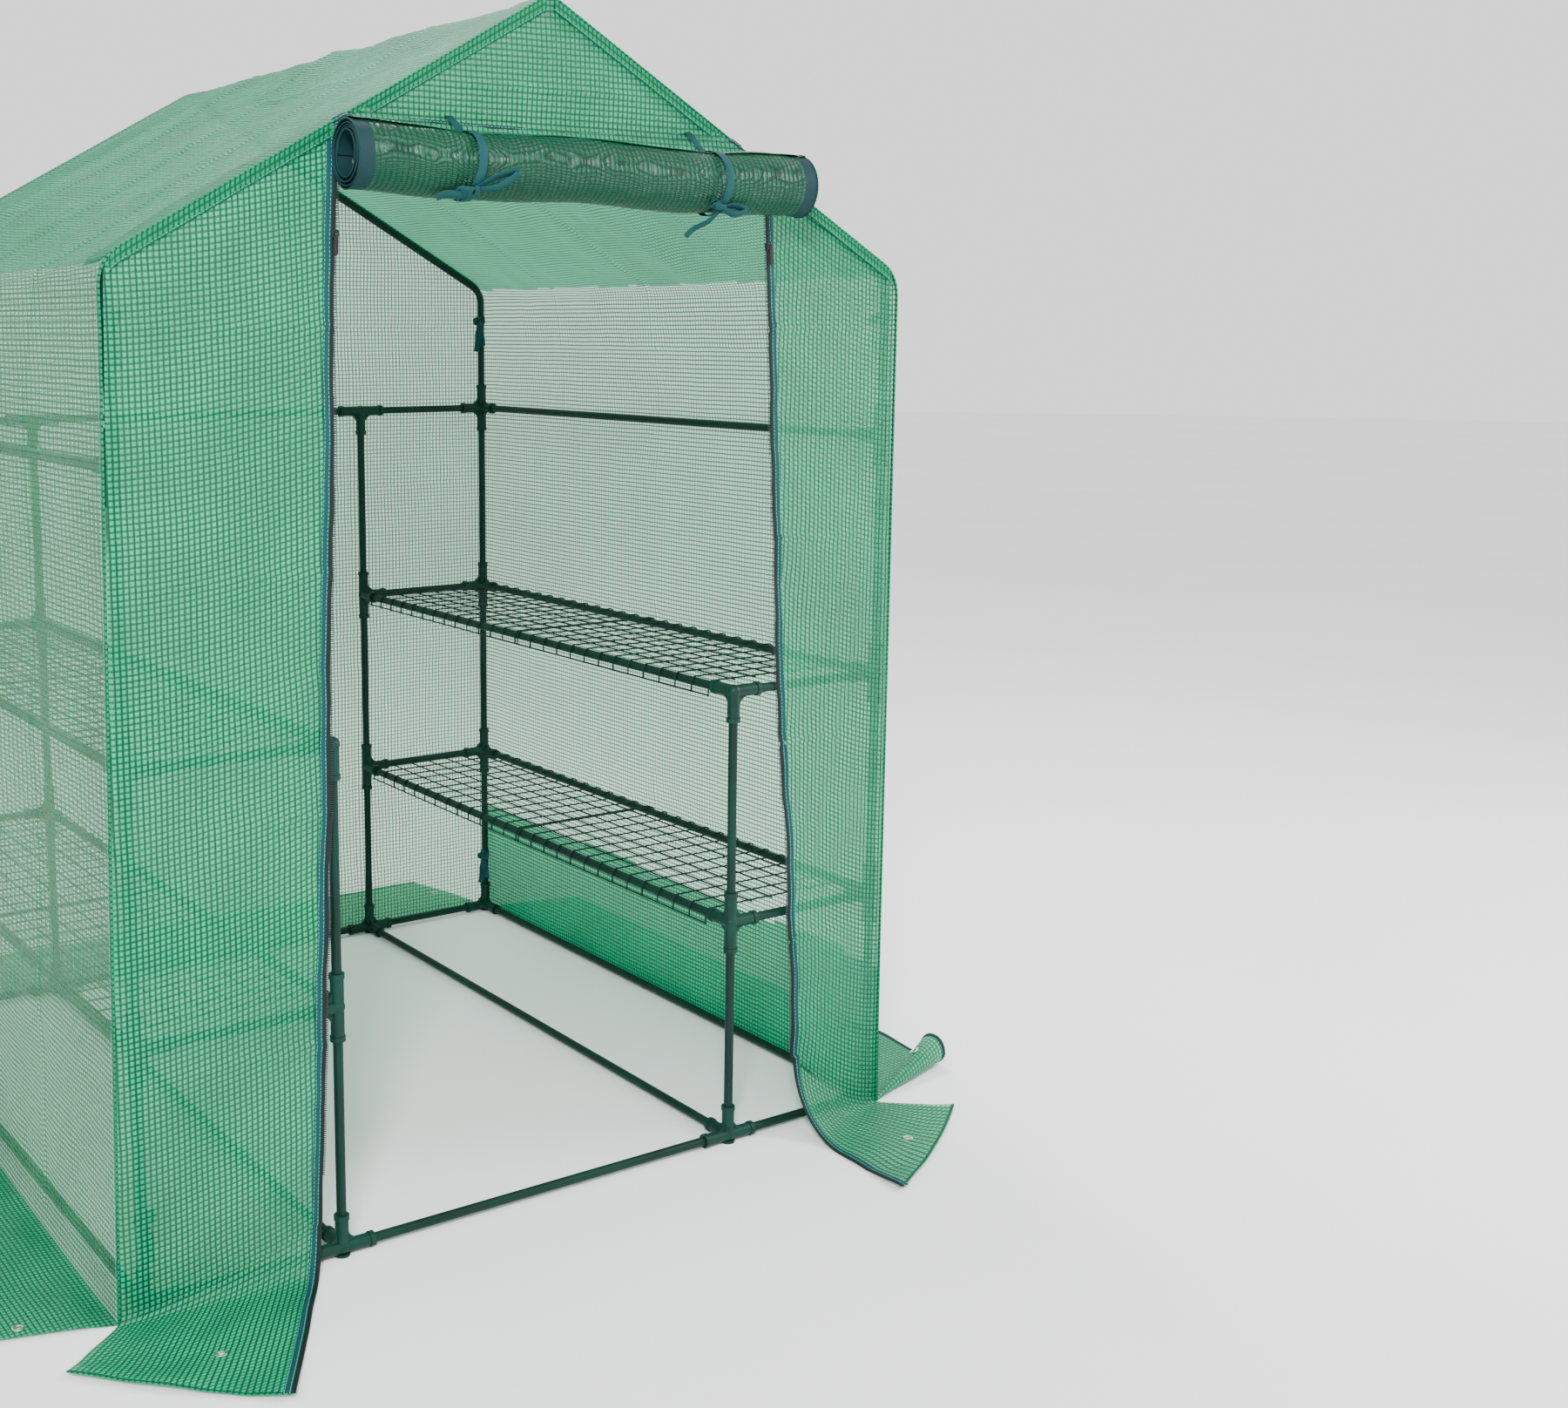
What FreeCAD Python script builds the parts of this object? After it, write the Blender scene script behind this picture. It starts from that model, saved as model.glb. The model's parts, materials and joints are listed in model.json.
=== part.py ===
import FreeCAD, Part
import math
import os

# Walk-in greenhouse: a steel tube frame on plastic push-fit connectors, eight lift-off wire
# shelves on two tiers, and a fitted mesh cover with a roll-up door and floor skirts.
# Millimetres, +Z up. The origin is on the floor at the middle of the plan; the door faces -Y.

os.makedirs("parts", exist_ok=True)
V = FreeCAD.Vector

# ---- frame: heights and spacings are between tube centre lines
frame_width = 1430.0
frame_depth = 1430.0
lower_shelf_level = 414.0
upper_shelf_level = 833.0
side_rail_level = 1268.0
eave_level = 1545.0
apex_level = 1950.0
shelf_width = 328.0

# ---- tubes
tube_radius = 8.0
tube_wall = 1.0
eave_bend_radius = 45.0
spigot_length = 30.0
spigot_clearance = 0.1

# ---- push-fit connectors
socket_wall = 3.0
socket_reach = 55.0
socket_rim = 1.5
rim_length = 8.0
tube_stop = 14.0
tube_fit_clearance = 0.1
core_margin = 1.5
web_leg = 36.0
web_throat = 16.0
web_thickness = 8.0
foot_thickness = 4.0
foot_margin = 5.0
rim_floor_clearance = 1.4
square_tolerance = 1e-6

# ---- wire shelves
shelf_wire_radius = 1.5
shelf_cross_wires = 14
shelf_long_wires = 6
shelf_rail_clearance = 0.6
shelf_end_clearance = 5.0
shelf_gap = 10.0
shelf_hook_drop = 4.0
shelf_lip_drop = 18.0
weld_depth = 0.3
shelf_wire_overhang = 1.0

# ---- cover
cover_clearance = 1.5
fabric_thickness = 0.6
fabric_lift = 0.8
gable_seam_drop = 175.0
door_left_at_floor = -433.0
door_left_at_top = -368.0
door_right_at_floor = 534.0
door_right_at_top = 431.0

# ---- floor skirts
side_skirt_depth = 230.0
end_skirt_depth = 280.0
skirt_end_taper = 60.0
flap_tip_inset = 159.7
flap_corner_spread = 110.0
eyelet_corner_inset = 64.7
eyelet_wall_distance = 160.3
eyelet_bore_radius = 5.0
eyelet_barrel_wall = 1.4
eyelet_flange_radius = 9.0
eyelet_flange_thickness = 0.8
eyelet_clearance = 0.1

# ---- door: rolled up, zipped down both edges, tied with two tapes
roll_radius = 50.0
roll_thickness = 5.0
roll_drop = 75.0
roll_overlap_left = 9.0
roll_overlap_right = 13.0
roll_standoff = 11.0
curtain_lap = 20.0
curtain_inset = 12.0
tie_positions = (-182.0, 262.0)
tie_width = 24.0
tie_thickness = 1.0
tie_clearance = 1.0
zip_tape_width = 22.0
zip_teeth_overhang = 5.0
zip_tape_thickness = 0.8
zip_top_drop_left = 44.0
zip_top_drop_right = 66.0
slider_drop = 175.0
slider_width = 11.0
slider_height = 15.0
slider_plate = 2.0
slider_clearance = 0.6
slider_tab_length = 32.0
slider_tab_width = 6.0

# ---- tapes that tie the cover to the corner tubes, near the eaves and near the floor
corner_tie_width = 18.0
corner_tie_thickness = 1.0
corner_tie_slack = 0.4
corner_tie_tail = 70.0
corner_tie_below_eave = 40.0
corner_tie_above_floor = 150.0

# ---- sizes that follow from the ones above
half_width = frame_width / 2
half_depth = frame_depth / 2
inner_x = half_width - shelf_width
socket_radius = tube_radius + tube_fit_clearance + socket_wall
rim_radius = socket_radius + socket_rim
core_radius = socket_radius + core_margin
floor_level = rim_radius + rim_floor_clearance
gable_seam_level = apex_level - gable_seam_drop
door_top_level = gable_seam_level
roll_level = gable_seam_level - roll_drop
slider_level = gable_seam_level - slider_drop
cover_offset = rim_radius + cover_clearance
cover_x = half_width + cover_offset
cover_y = half_depth + cover_offset
skin_x = cover_x + fabric_thickness
skin_y = cover_y + fabric_thickness
roof_angle = math.atan2(apex_level - eave_level, half_width)
bend_angle = math.pi / 2 - roof_angle
bend_tangent = eave_bend_radius * math.tan(bend_angle / 2)


def export(name, solids):
    """Write one node: a single solid, or a group of separate ones."""
    solids = solids if isinstance(solids, list) else [solids]
    shape = solids[0] if len(solids) == 1 else Part.makeCompound(solids)
    if not all(solid.isValid() for solid in solids):
        raise ValueError(name + " holds a solid that isn't valid")
    shape.exportStep("parts/" + name + ".step")
    print(f"{name}: {len(shape.Solids)} solids, {shape.Volume / 1000:.1f} cm3")


def ring(radius, bore, length, base, axis):
    """A straight hollow cylinder."""
    outside = Part.makeCylinder(radius, length, base, axis)
    return outside.cut(Part.makeCylinder(bore, length, base, axis))


# ======================================================================================
# Tubes
# ======================================================================================

def tube(start, end):
    """A plain steel tube from one connector stop to the next."""
    along = end - start
    return ring(tube_radius, tube_radius - tube_wall, along.Length, start, along)


def between(start, end):
    """A tube between two connector centres, cut short by the stop inside each socket."""
    along = (end - start).normalize()
    return tube(start + along * tube_stop, end - along * tube_stop)


def spigot_tube(start, end):
    """A tube whose far end is swaged down to push into the next tube's bore."""
    along = end - start
    length = along.Length
    outer = tube_radius - tube_wall - spigot_clearance
    inner = outer - tube_wall
    profile = [
        (tube_radius - tube_wall, 0),
        (tube_radius, 0),
        (tube_radius, length),
        (outer, length),
        (outer, length + spigot_length),
        (inner, length + spigot_length),
        (inner, length - tube_wall),
        (tube_radius - tube_wall, length - tube_wall),
    ]
    points = [V(radius, 0, height) for radius, height in profile]
    face = Part.Face(Part.makePolygon(points + points[:1]))
    solid = face.revolve(V(0, 0, 0), V(0, 0, 1), 360)
    turn = FreeCAD.Rotation(V(0, 0, 1), along)
    return solid.transformGeometry(FreeCAD.Placement(start, turn).toMatrix())


def two_tube_rail(x, level):
    """A rail along the depth of the frame, made of two tubes that plug together midway."""
    front = V(x, -half_depth + tube_stop, level)
    middle = V(x, 0, level)
    back = V(x, half_depth - tube_stop, level)
    return [spigot_tube(front, middle), tube(middle, back)]


def post(x, y, levels):
    """One tube for each stretch of a post, from connector to connector."""
    return [between(V(x, y, low), V(x, y, high)) for low, high in zip(levels, levels[1:])]


def cross_tubes(y, level, stations):
    """Tubes along the width, one for each pair of neighbouring stations."""
    return [between(V(left, y, level), V(right, y, level)) for left, right in zip(stations, stations[1:])]


def rafter(side, y):
    """A bent tube: up from the side rail's connector, over the eave and up to the apex."""
    rise = V(0, 0, 1)
    slope = V(-side * math.cos(roof_angle), 0, math.sin(roof_angle))
    eave = V(side * half_width, y, eave_level)
    foot = V(side * half_width, y, side_rail_level + tube_stop)
    head = V(0, y, apex_level) - slope * tube_stop
    bend_start = eave - rise * bend_tangent
    bend_end = eave + slope * bend_tangent
    centre = bend_start + V(-side * eave_bend_radius, 0, 0)
    middle = centre + (eave - centre).normalize() * eave_bend_radius
    path = Part.Wire([
        Part.LineSegment(foot, bend_start).toShape(),
        Part.Arc(bend_start, middle, bend_end).toShape(),
        Part.LineSegment(bend_end, head).toShape(),
    ])
    rim = Part.Wire(Part.makeCircle(tube_radius, foot, rise))
    bore = Part.Wire(Part.makeCircle(tube_radius - tube_wall, foot, rise))
    return path.makePipe(Part.Face(rim)).cut(path.makePipe(Part.Face(bore)))


stations = (-half_width, -inner_x, inner_x, half_width)
low_levels = (floor_level, lower_shelf_level, upper_shelf_level)
all_levels = low_levels + (side_rail_level,)
side_names = {-1: "left", 1: "right"}
end_names = {-1: "front", 1: "back"}

for side, side_name in side_names.items():
    for end, end_name in end_names.items():
        corner = post(side * half_width, end * half_depth, all_levels)
        export(f"corner_post_{end_name}_{side_name}", corner)

export("inner_posts_front", post(-inner_x, -half_depth, low_levels) + post(inner_x, -half_depth, low_levels))
export("inner_posts_back", post(-inner_x, half_depth, all_levels) + post(inner_x, half_depth, all_levels))

for end, end_name in end_names.items():
    export(f"rafters_{end_name}", [rafter(-1, end * half_depth), rafter(1, end * half_depth)])

export("ridge_rail", two_tube_rail(0, apex_level))
export("front_sill", cross_tubes(-half_depth, floor_level, stations))
export("back_sill", cross_tubes(half_depth, floor_level, stations))
export("back_rail", cross_tubes(half_depth, side_rail_level, stations))

for side, side_name in side_names.items():
    wall_and_inner = (side * half_width, side * inner_x)
    export(f"side_rail_{side_name}", two_tube_rail(side * half_width, side_rail_level))
    for node, level in (
        ("floor_rails", floor_level),
        ("shelf_rails_lower", lower_shelf_level),
        ("shelf_rails_upper", upper_shelf_level),
    ):
        rails = [tube_solid for x in wall_and_inner for tube_solid in two_tube_rail(x, level)]
        export(f"{node}_{side_name}", rails)

for tier, level in (("lower", lower_shelf_level), ("upper", upper_shelf_level)):
    ends = []
    for y in (-half_depth, half_depth):
        ends += cross_tubes(y, level, stations[:2])
        ends += cross_tubes(y, level, stations[2:])
    export(f"shelf_end_tubes_{tier}", ends)


# ======================================================================================
# Connectors
# ======================================================================================

LEFT, RIGHT = V(-1, 0, 0), V(1, 0, 0)
FRONT, BACK = V(0, -1, 0), V(0, 1, 0)
DOWN, UP = V(0, 0, -1), V(0, 0, 1)


def web(first, second):
    """The rounded gusset plate in the corner between two arms at right angles."""
    inset = tube_radius
    normal = first.cross(second)

    def point(along_first, along_second):
        return first * along_first + second * along_second

    corner = [point(0, 0), point(web_leg, 0), point(web_leg, inset)]
    other = [point(inset, web_leg), point(0, web_leg), point(0, 0)]
    edges = [Part.LineSegment(a, b).toShape() for a, b in zip(corner, corner[1:])]
    edges.append(Part.Arc(corner[-1], point(web_throat, web_throat), other[0]).toShape())
    edges += [Part.LineSegment(a, b).toShape() for a, b in zip(other, other[1:])]
    plate = Part.Face(Part.Wire(edges)).extrude(normal * web_thickness)
    return plate.translated(normal * (-web_thickness / 2))


def connector(arms, foot_height=0.0):
    """A moulded push-fit connector with one blind socket on each arm, centred on the origin."""
    pieces = []
    for index, arm in enumerate(arms):
        pieces.append(Part.makeCylinder(socket_radius, socket_reach, V(0, 0, 0), arm))
        rim_base = arm * (socket_reach - rim_length)
        pieces.append(Part.makeCylinder(rim_radius, rim_length, rim_base, arm))
        for other in arms[index + 1:]:
            if abs(arm.dot(other)) < square_tolerance:
                pieces.append(web(arm, other))
    if foot_height:
        foot_radius = tube_radius + foot_margin
        pieces.append(Part.makeCylinder(foot_radius, foot_thickness, V(0, 0, -foot_height)))
    body = Part.makeSphere(core_radius).multiFuse(pieces)
    bores = []
    for arm in arms:
        bore_length = socket_reach - tube_stop
        bore_radius = tube_radius + tube_fit_clearance
        bores.append(Part.makeCylinder(bore_radius, bore_length, arm * tube_stop, arm))
    return body.cut(Part.makeCompound(bores)).Solids[0]


def placed(arms, x, y, level, foot_height=0.0):
    """A connector moved to its place in the frame."""
    return connector(arms, foot_height).translated(V(x, y, level))


def at_corners(x, level, vertical, foot_height=0.0, ends=(-1, 1)):
    """The same kind of connector at both sides, at the given ends, with arms facing inward."""
    group = []
    for side in (-1, 1):
        for end in ends:
            inward = V(0, -end, 0)
            toward_middle = V(-side, 0, 0)
            toward_wall = V(side, 0, 0)
            horizontal = {
                "corner": [inward, toward_middle],
                "tee": [inward, toward_middle, toward_wall],
                "inner": [inward, toward_wall],
                "rail": [inward],
            }
            arms = horizontal[vertical[0]] + vertical[1]
            group.append(placed(arms, side * x, end * half_depth, level, foot_height))
    return group


export("floor_corner_connectors", at_corners(half_width, floor_level, ("corner", [UP]), floor_level))
export("floor_tee_connectors", at_corners(inner_x, floor_level, ("tee", [UP]), floor_level))

corner_crosses = []
inner_crosses = at_corners(inner_x, lower_shelf_level, ("inner", [UP, DOWN]))
for level in (lower_shelf_level, upper_shelf_level):
    corner_crosses += at_corners(half_width, level, ("corner", [UP, DOWN]))
inner_crosses += at_corners(inner_x, upper_shelf_level, ("inner", [UP, DOWN]), ends=(1,))
export("corner_cross_connectors", corner_crosses)
export("inner_cross_connectors", inner_crosses)
export("shelf_elbow_connectors", at_corners(inner_x, upper_shelf_level, ("inner", [DOWN]), ends=(-1,)))

side_rail_connectors = at_corners(half_width, side_rail_level, ("rail", [UP, DOWN]), ends=(-1,))
side_rail_connectors += at_corners(half_width, side_rail_level, ("corner", [UP, DOWN]), ends=(1,))
export("side_rail_connectors", side_rail_connectors)

back_tees = [placed([LEFT, RIGHT, DOWN], x, half_depth, side_rail_level) for x in (-inner_x, inner_x)]
export("back_tee_connectors", back_tees)

down_left = V(-math.cos(roof_angle), 0, -math.sin(roof_angle))
down_right = V(math.cos(roof_angle), 0, -math.sin(roof_angle))
ridge_connectors = [
    placed([down_left, down_right, BACK], 0, -half_depth, apex_level),
    placed([down_left, down_right, FRONT], 0, half_depth, apex_level),
]
export("ridge_connectors", ridge_connectors)


# ======================================================================================
# Wire shelves
# ======================================================================================

def cross_wire(y):
    """A wire hooked over the wall rail, run across, and turned down past the inner rail."""
    reach = tube_radius + shelf_rail_clearance + shelf_wire_radius
    diagonal = reach * math.sqrt(0.5)
    hook_end = V(half_width + reach, y, -shelf_hook_drop)
    hook_top = V(half_width + reach, y, 0)
    wall_top = V(half_width, y, reach)
    inner_top = V(inner_x, y, reach)
    lip_top = V(inner_x - reach, y, 0)
    lip_end = V(inner_x - reach, y, -shelf_lip_drop)
    path = Part.Wire([
        Part.LineSegment(hook_end, hook_top).toShape(),
        Part.Arc(hook_top, V(half_width + diagonal, y, diagonal), wall_top).toShape(),
        Part.LineSegment(wall_top, inner_top).toShape(),
        Part.Arc(inner_top, V(inner_x - diagonal, y, diagonal), lip_top).toShape(),
        Part.LineSegment(lip_top, lip_end).toShape(),
    ])
    section = Part.Wire(Part.makeCircle(shelf_wire_radius, hook_end, V(0, 0, 1)))
    return path.makePipe(Part.Face(section))


def shelf_panel():
    """One welded grid for the right-hand back bay, at rail height zero."""
    first = shelf_gap / 2
    last = half_depth - socket_reach - shelf_end_clearance
    pitch = (last - first) / (shelf_cross_wires - 1)
    across = [cross_wire(first + pitch * index) for index in range(shelf_cross_wires)]
    reach = tube_radius + shelf_rail_clearance + shelf_wire_radius
    weld_offset = 2 * shelf_wire_radius - weld_depth
    overhang = shelf_wire_radius + shelf_wire_overhang
    spacing = shelf_width / (shelf_long_wires + 1)
    places = [(inner_x + spacing * (index + 1), reach - weld_offset) for index in range(shelf_long_wires)]
    places.append((inner_x - reach - weld_offset, -shelf_lip_drop + 2 * shelf_wire_radius))
    length = last - first + 2 * overhang
    along = [
        Part.makeCylinder(shelf_wire_radius, length, V(x, first - overhang, height), V(0, 1, 0))
        for x, height in places
    ]
    return across[0].multiFuse(across[1:] + along).Solids[0]


panel = shelf_panel()
for tier, level in (("lower", lower_shelf_level), ("upper", upper_shelf_level)):
    for side, side_name in side_names.items():
        for end, end_name in end_names.items():
            shelf = panel if side > 0 else panel.mirror(V(0, 0, 0), V(1, 0, 0))
            shelf = shelf if end > 0 else shelf.mirror(V(0, 0, 0), V(0, 1, 0))
            export(f"shelf_{tier}_{side_name}_{end_name}", shelf.translated(V(0, 0, level)))


# ======================================================================================
# Cover
# ======================================================================================

def slab(points, y, thickness):
    """A flat piece in the plane of the front or back, from (x, height) points."""
    corners = [V(x, y, height) for x, height in points]
    face = Part.Face(Part.makePolygon(corners + corners[:1]))
    return face.extrude(V(0, thickness, 0))


def eave_points(side, offset):
    """Both ends and the middle of the cover's bend over the eave, at a distance off the tube."""
    centre = V(side * (half_width - eave_bend_radius), 0, eave_level - bend_tangent)
    radius = eave_bend_radius + offset
    directions = [V(side, 0, 0)]
    directions.append(V(side * math.cos(bend_angle / 2), 0, math.sin(bend_angle / 2)))
    directions.append(V(side * math.cos(bend_angle), 0, math.sin(bend_angle)))
    return [centre + direction * radius for direction in directions]


def ridge_point(offset):
    """Where the two roof slopes meet, at a distance off the tube."""
    return V(0, 0, apex_level + offset / math.cos(roof_angle))


def end_face(offset):
    """The outline of the front or back of the cover, as a face in the XZ plane."""
    left = eave_points(-1, offset)
    right = eave_points(1, offset)
    ridge = ridge_point(offset)
    foot_left = V(left[0].x, 0, fabric_lift)
    foot_right = V(right[0].x, 0, fabric_lift)
    edges = [
        Part.LineSegment(foot_left, left[0]).toShape(),
        Part.Arc(left[0], left[1], left[2]).toShape(),
        Part.LineSegment(left[2], ridge).toShape(),
        Part.LineSegment(ridge, right[2]).toShape(),
        Part.Arc(right[2], right[1], right[0]).toShape(),
        Part.LineSegment(right[0], foot_right).toShape(),
        Part.LineSegment(foot_right, foot_left).toShape(),
    ]
    return Part.Face(Part.Wire(edges))


def roof(side):
    """The bend over the eave and the slope up to the ridge, as two solids edge to edge."""
    inner = eave_points(side, cover_offset)
    outer = eave_points(side, cover_offset + fabric_thickness)
    bend = Part.Face(Part.Wire([
        Part.Arc(inner[0], inner[1], inner[2]).toShape(),
        Part.LineSegment(inner[2], outer[2]).toShape(),
        Part.Arc(outer[2], outer[1], outer[0]).toShape(),
        Part.LineSegment(outer[0], inner[0]).toShape(),
    ]))
    corners = [inner[2], outer[2], ridge_point(cover_offset + fabric_thickness), ridge_point(cover_offset)]
    slope = Part.Face(Part.makePolygon(corners + corners[:1]))
    start = V(0, -cover_y, 0)
    return [face.translated(start).extrude(V(0, 2 * cover_y, 0)) for face in (bend, slope)]


def door_edge(side, level):
    """Where the doorway's left or right edge is at a height; both edges lean outward."""
    at_floor = door_left_at_floor if side < 0 else door_right_at_floor
    at_top = door_left_at_top if side < 0 else door_right_at_top
    return at_floor + (at_top - at_floor) * level / door_top_level


wall_top = eave_level - bend_tangent
for side, side_name in side_names.items():
    low_x = cover_x if side > 0 else -skin_x
    wall_low = V(low_x, -cover_y, fabric_lift)
    wall = Part.makeBox(fabric_thickness, 2 * cover_y, wall_top - fabric_lift, wall_low)
    export(f"cover_{side_name}_wall", wall)
    export(f"cover_roof_{side_name}", roof(side))

end_outline = end_face(cover_offset + fabric_thickness)
back_wall = end_outline.translated(V(0, cover_y, 0)).extrude(V(0, fabric_thickness, 0))
export("cover_back_wall", back_wall)

front_sheet = end_outline.translated(V(0, -skin_y, 0)).extrude(V(0, fabric_thickness, 0))
above_seam = Part.makeBox(2 * skin_x, fabric_thickness, apex_level, V(-skin_x, -skin_y, gable_seam_level))
export("cover_front_gable", front_sheet.common(above_seam))
for side, side_name in side_names.items():
    # the keeper covers one side of the doorway, and stops at the gable seam's height
    keeper = slab(
        [
            (door_edge(side, 0), 0),
            (side * skin_x * 2, 0),
            (side * skin_x * 2, door_top_level),
            (door_edge(side, door_top_level), door_top_level),
        ],
        -skin_y,
        fabric_thickness,
    )
    export(f"cover_front_{side_name}", front_sheet.common(keeper))


# ======================================================================================
# Floor skirts and their peg eyelets
# ======================================================================================

def skirt(points):
    """A flat flap on the floor from (x, y) points, with a hole for each eyelet that falls on it."""
    corners = [V(x, y, fabric_lift) for x, y in points]
    flap = Part.Face(Part.makePolygon(corners + corners[:1])).extrude(V(0, 0, fabric_thickness))
    hole_radius = eyelet_bore_radius + eyelet_barrel_wall + eyelet_clearance
    for x, y in eyelet_places:
        flap = flap.cut(Part.makeCylinder(hole_radius, fabric_lift + fabric_thickness, V(x, y, 0)))
    return flap


def eyelet(x, y):
    """A pressed metal eyelet: a flange under the fabric, a barrel through it, a flange on top."""
    barrel_radius = eyelet_bore_radius + eyelet_barrel_wall
    under = fabric_lift - eyelet_flange_thickness
    over = fabric_lift + fabric_thickness
    top = over + eyelet_flange_thickness
    profile = [
        (eyelet_bore_radius, under),
        (eyelet_flange_radius, under),
        (eyelet_flange_radius, fabric_lift),
        (barrel_radius, fabric_lift),
        (barrel_radius, over),
        (eyelet_flange_radius, over),
        (eyelet_flange_radius, top),
        (eyelet_bore_radius, top),
    ]
    points = [V(x + radius, y, height) for radius, height in profile]
    face = Part.Face(Part.makePolygon(points + points[:1]))
    return face.revolve(V(x, y, 0), V(0, 0, 1), 360)


signs = (-1, 1)
eyelet_places = []
for side in signs:
    for end in signs:
        front_place = (side * (skin_x - eyelet_corner_inset), end * (skin_y + eyelet_wall_distance))
        side_place = (side * (skin_x + eyelet_wall_distance), end * (skin_y - eyelet_corner_inset))
        eyelet_places += [front_place, side_place]
export("eyelets", [eyelet(x, y) for x, y in eyelet_places])

for side, side_name in side_names.items():
    export(f"skirt_front_{side_name}", skirt([
        (door_edge(side, 0), -skin_y),
        (side * skin_x, -skin_y),
        (side * (skin_x + flap_corner_spread), -skin_y - flap_corner_spread),
        (side * (skin_x - flap_tip_inset), -skin_y - end_skirt_depth),
    ]))
export("skirt_back", skirt([
    (-skin_x, skin_y),
    (skin_x, skin_y),
    (skin_x - skirt_end_taper, skin_y + end_skirt_depth),
    (skirt_end_taper - skin_x, skin_y + end_skirt_depth),
]))
for side, side_name in side_names.items():
    export(f"skirt_{side_name}", skirt([
        (side * skin_x, -skin_y),
        (side * skin_x, skin_y),
        (side * (skin_x + side_skirt_depth), skin_y - skirt_end_taper),
        (side * (skin_x + side_skirt_depth), skirt_end_taper - skin_y),
    ]))


# ======================================================================================
# Door: the roll, the strip it hangs on, its ties, and the zips down both edges
# ======================================================================================

roll_y = -(skin_y + roll_standoff + roll_radius)
roll_left = door_edge(-1, roll_level) - roll_overlap_left
roll_right = door_edge(1, roll_level) + roll_overlap_right
roll_start = V(roll_left, roll_y, roll_level)
roll = ring(roll_radius, roll_radius - roll_thickness, roll_right - roll_left, roll_start, RIGHT)
export("door_roll", roll)

curtain_left = door_edge(-1, roll_level) + curtain_inset
curtain_right = door_edge(1, roll_level) - curtain_inset
curtain_top = gable_seam_level + curtain_lap
curtain_top_x = (ridge_point(cover_offset).z - curtain_top) / math.tan(roof_angle) - curtain_inset
curtain = slab(
    [
        (curtain_left, roll_level),
        (curtain_right, roll_level),
        (curtain_top_x, curtain_top),
        (-curtain_top_x, curtain_top),
    ],
    -skin_y - fabric_thickness,
    fabric_thickness,
)
export("door_curtain", curtain)


def door_tie(x):
    """A tape sewn on at the gable seam, down behind the roll and round it."""
    bore = roll_radius + tie_clearance
    left = x - tie_width / 2
    loop = ring(bore + tie_thickness, bore, tie_width, V(left, roll_y, roll_level), RIGHT)
    strap_y = roll_y + bore
    top = curtain_top + tie_clearance
    strap = Part.makeBox(tie_width, tie_thickness, top - roll_level, V(left, strap_y, roll_level))
    tab = Part.makeBox(tie_width, -skin_y - strap_y, tie_thickness, V(left, strap_y, top))
    return loop.multiFuse([strap, tab]).Solids[0]


export("door_ties", [door_tie(x) for x in tie_positions])


def zip_tape(side):
    """The zip tape down one edge of the doorway, with its teeth standing past the panel's edge."""
    edge = zip_teeth_overhang
    top = gable_seam_level - (zip_top_drop_left if side < 0 else zip_top_drop_right)
    foot = fabric_lift + fabric_thickness
    points = [
        (door_edge(side, foot) - side * edge, foot),
        (door_edge(side, foot) + side * zip_tape_width, foot),
        (door_edge(side, top) + side * zip_tape_width, top),
        (door_edge(side, top) - side * edge, top),
    ]
    return slab(points, -skin_y - zip_tape_thickness, zip_tape_thickness)


export("zip_tapes", [zip_tape(-1), zip_tape(1)])


def zip_slider(side):
    """A slider that wraps the zip's free edge, with a pull tab hanging in front."""
    tape_front = -zip_tape_thickness - slider_clearance
    panel_back = fabric_thickness + slider_clearance
    tape_edge = zip_teeth_overhang + slider_clearance
    bridge = slider_plate
    outer = tape_edge + bridge
    front_low = V(outer - slider_width, tape_front - slider_plate, 0)
    rear_low = V(outer - slider_width, panel_back, 0)
    front = Part.makeBox(slider_width, slider_plate, slider_height, front_low)
    rear = Part.makeBox(slider_width, slider_plate, slider_height, rear_low)
    post_depth = panel_back - tape_front + 2 * slider_plate
    spine = Part.makeBox(bridge, post_depth, slider_height, V(tape_edge, tape_front - slider_plate, 0))
    tab_left = outer - slider_width / 2 - slider_tab_width / 2
    tab_low = V(tab_left, tape_front - 2 * slider_plate, slider_height / 2 - slider_tab_length)
    tab = Part.makeBox(slider_tab_width, slider_plate, slider_tab_length, tab_low)
    body = front.multiFuse([rear, spine, tab]).Solids[0]
    body = body if side < 0 else body.mirror(V(0, 0, 0), V(1, 0, 0))
    lean = math.atan2(door_edge(side, door_top_level) - door_edge(side, 0), door_top_level)
    turn = FreeCAD.Rotation(V(0, 1, 0), math.degrees(lean))
    place = V(door_edge(side, slider_level), -skin_y, slider_level)
    return body.transformGeometry(FreeCAD.Placement(place, turn).toMatrix())


for side, side_name in side_names.items():
    export(f"zip_slider_{side_name}", zip_slider(side))


# ======================================================================================
# Tapes that tie the cover to the frame at the corners
# ======================================================================================

def corner_tie(side, end, level):
    """A tape loop round a corner tube, with a tail hanging on the inner side."""
    x = side * half_width
    y = end * half_depth
    bore = tube_radius + corner_tie_slack
    outside = bore + corner_tie_thickness
    loop = ring(outside, bore, corner_tie_width, V(x, y, level), UP)
    inner_face = x - side * outside
    low_x = inner_face if side > 0 else inner_face - corner_tie_thickness
    low = V(low_x, y - corner_tie_width / 2, level + corner_tie_width - corner_tie_tail)
    tail = Part.makeBox(corner_tie_thickness, corner_tie_width, corner_tie_tail, low)
    return loop.fuse(tail).Solids[0]


corner_ties = []
for side in signs:
    for end in signs:
        for level in (wall_top - corner_tie_below_eave, corner_tie_above_floor):
            corner_ties.append(corner_tie(side, end, level))
export("corner_ties", corner_ties)
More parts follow.
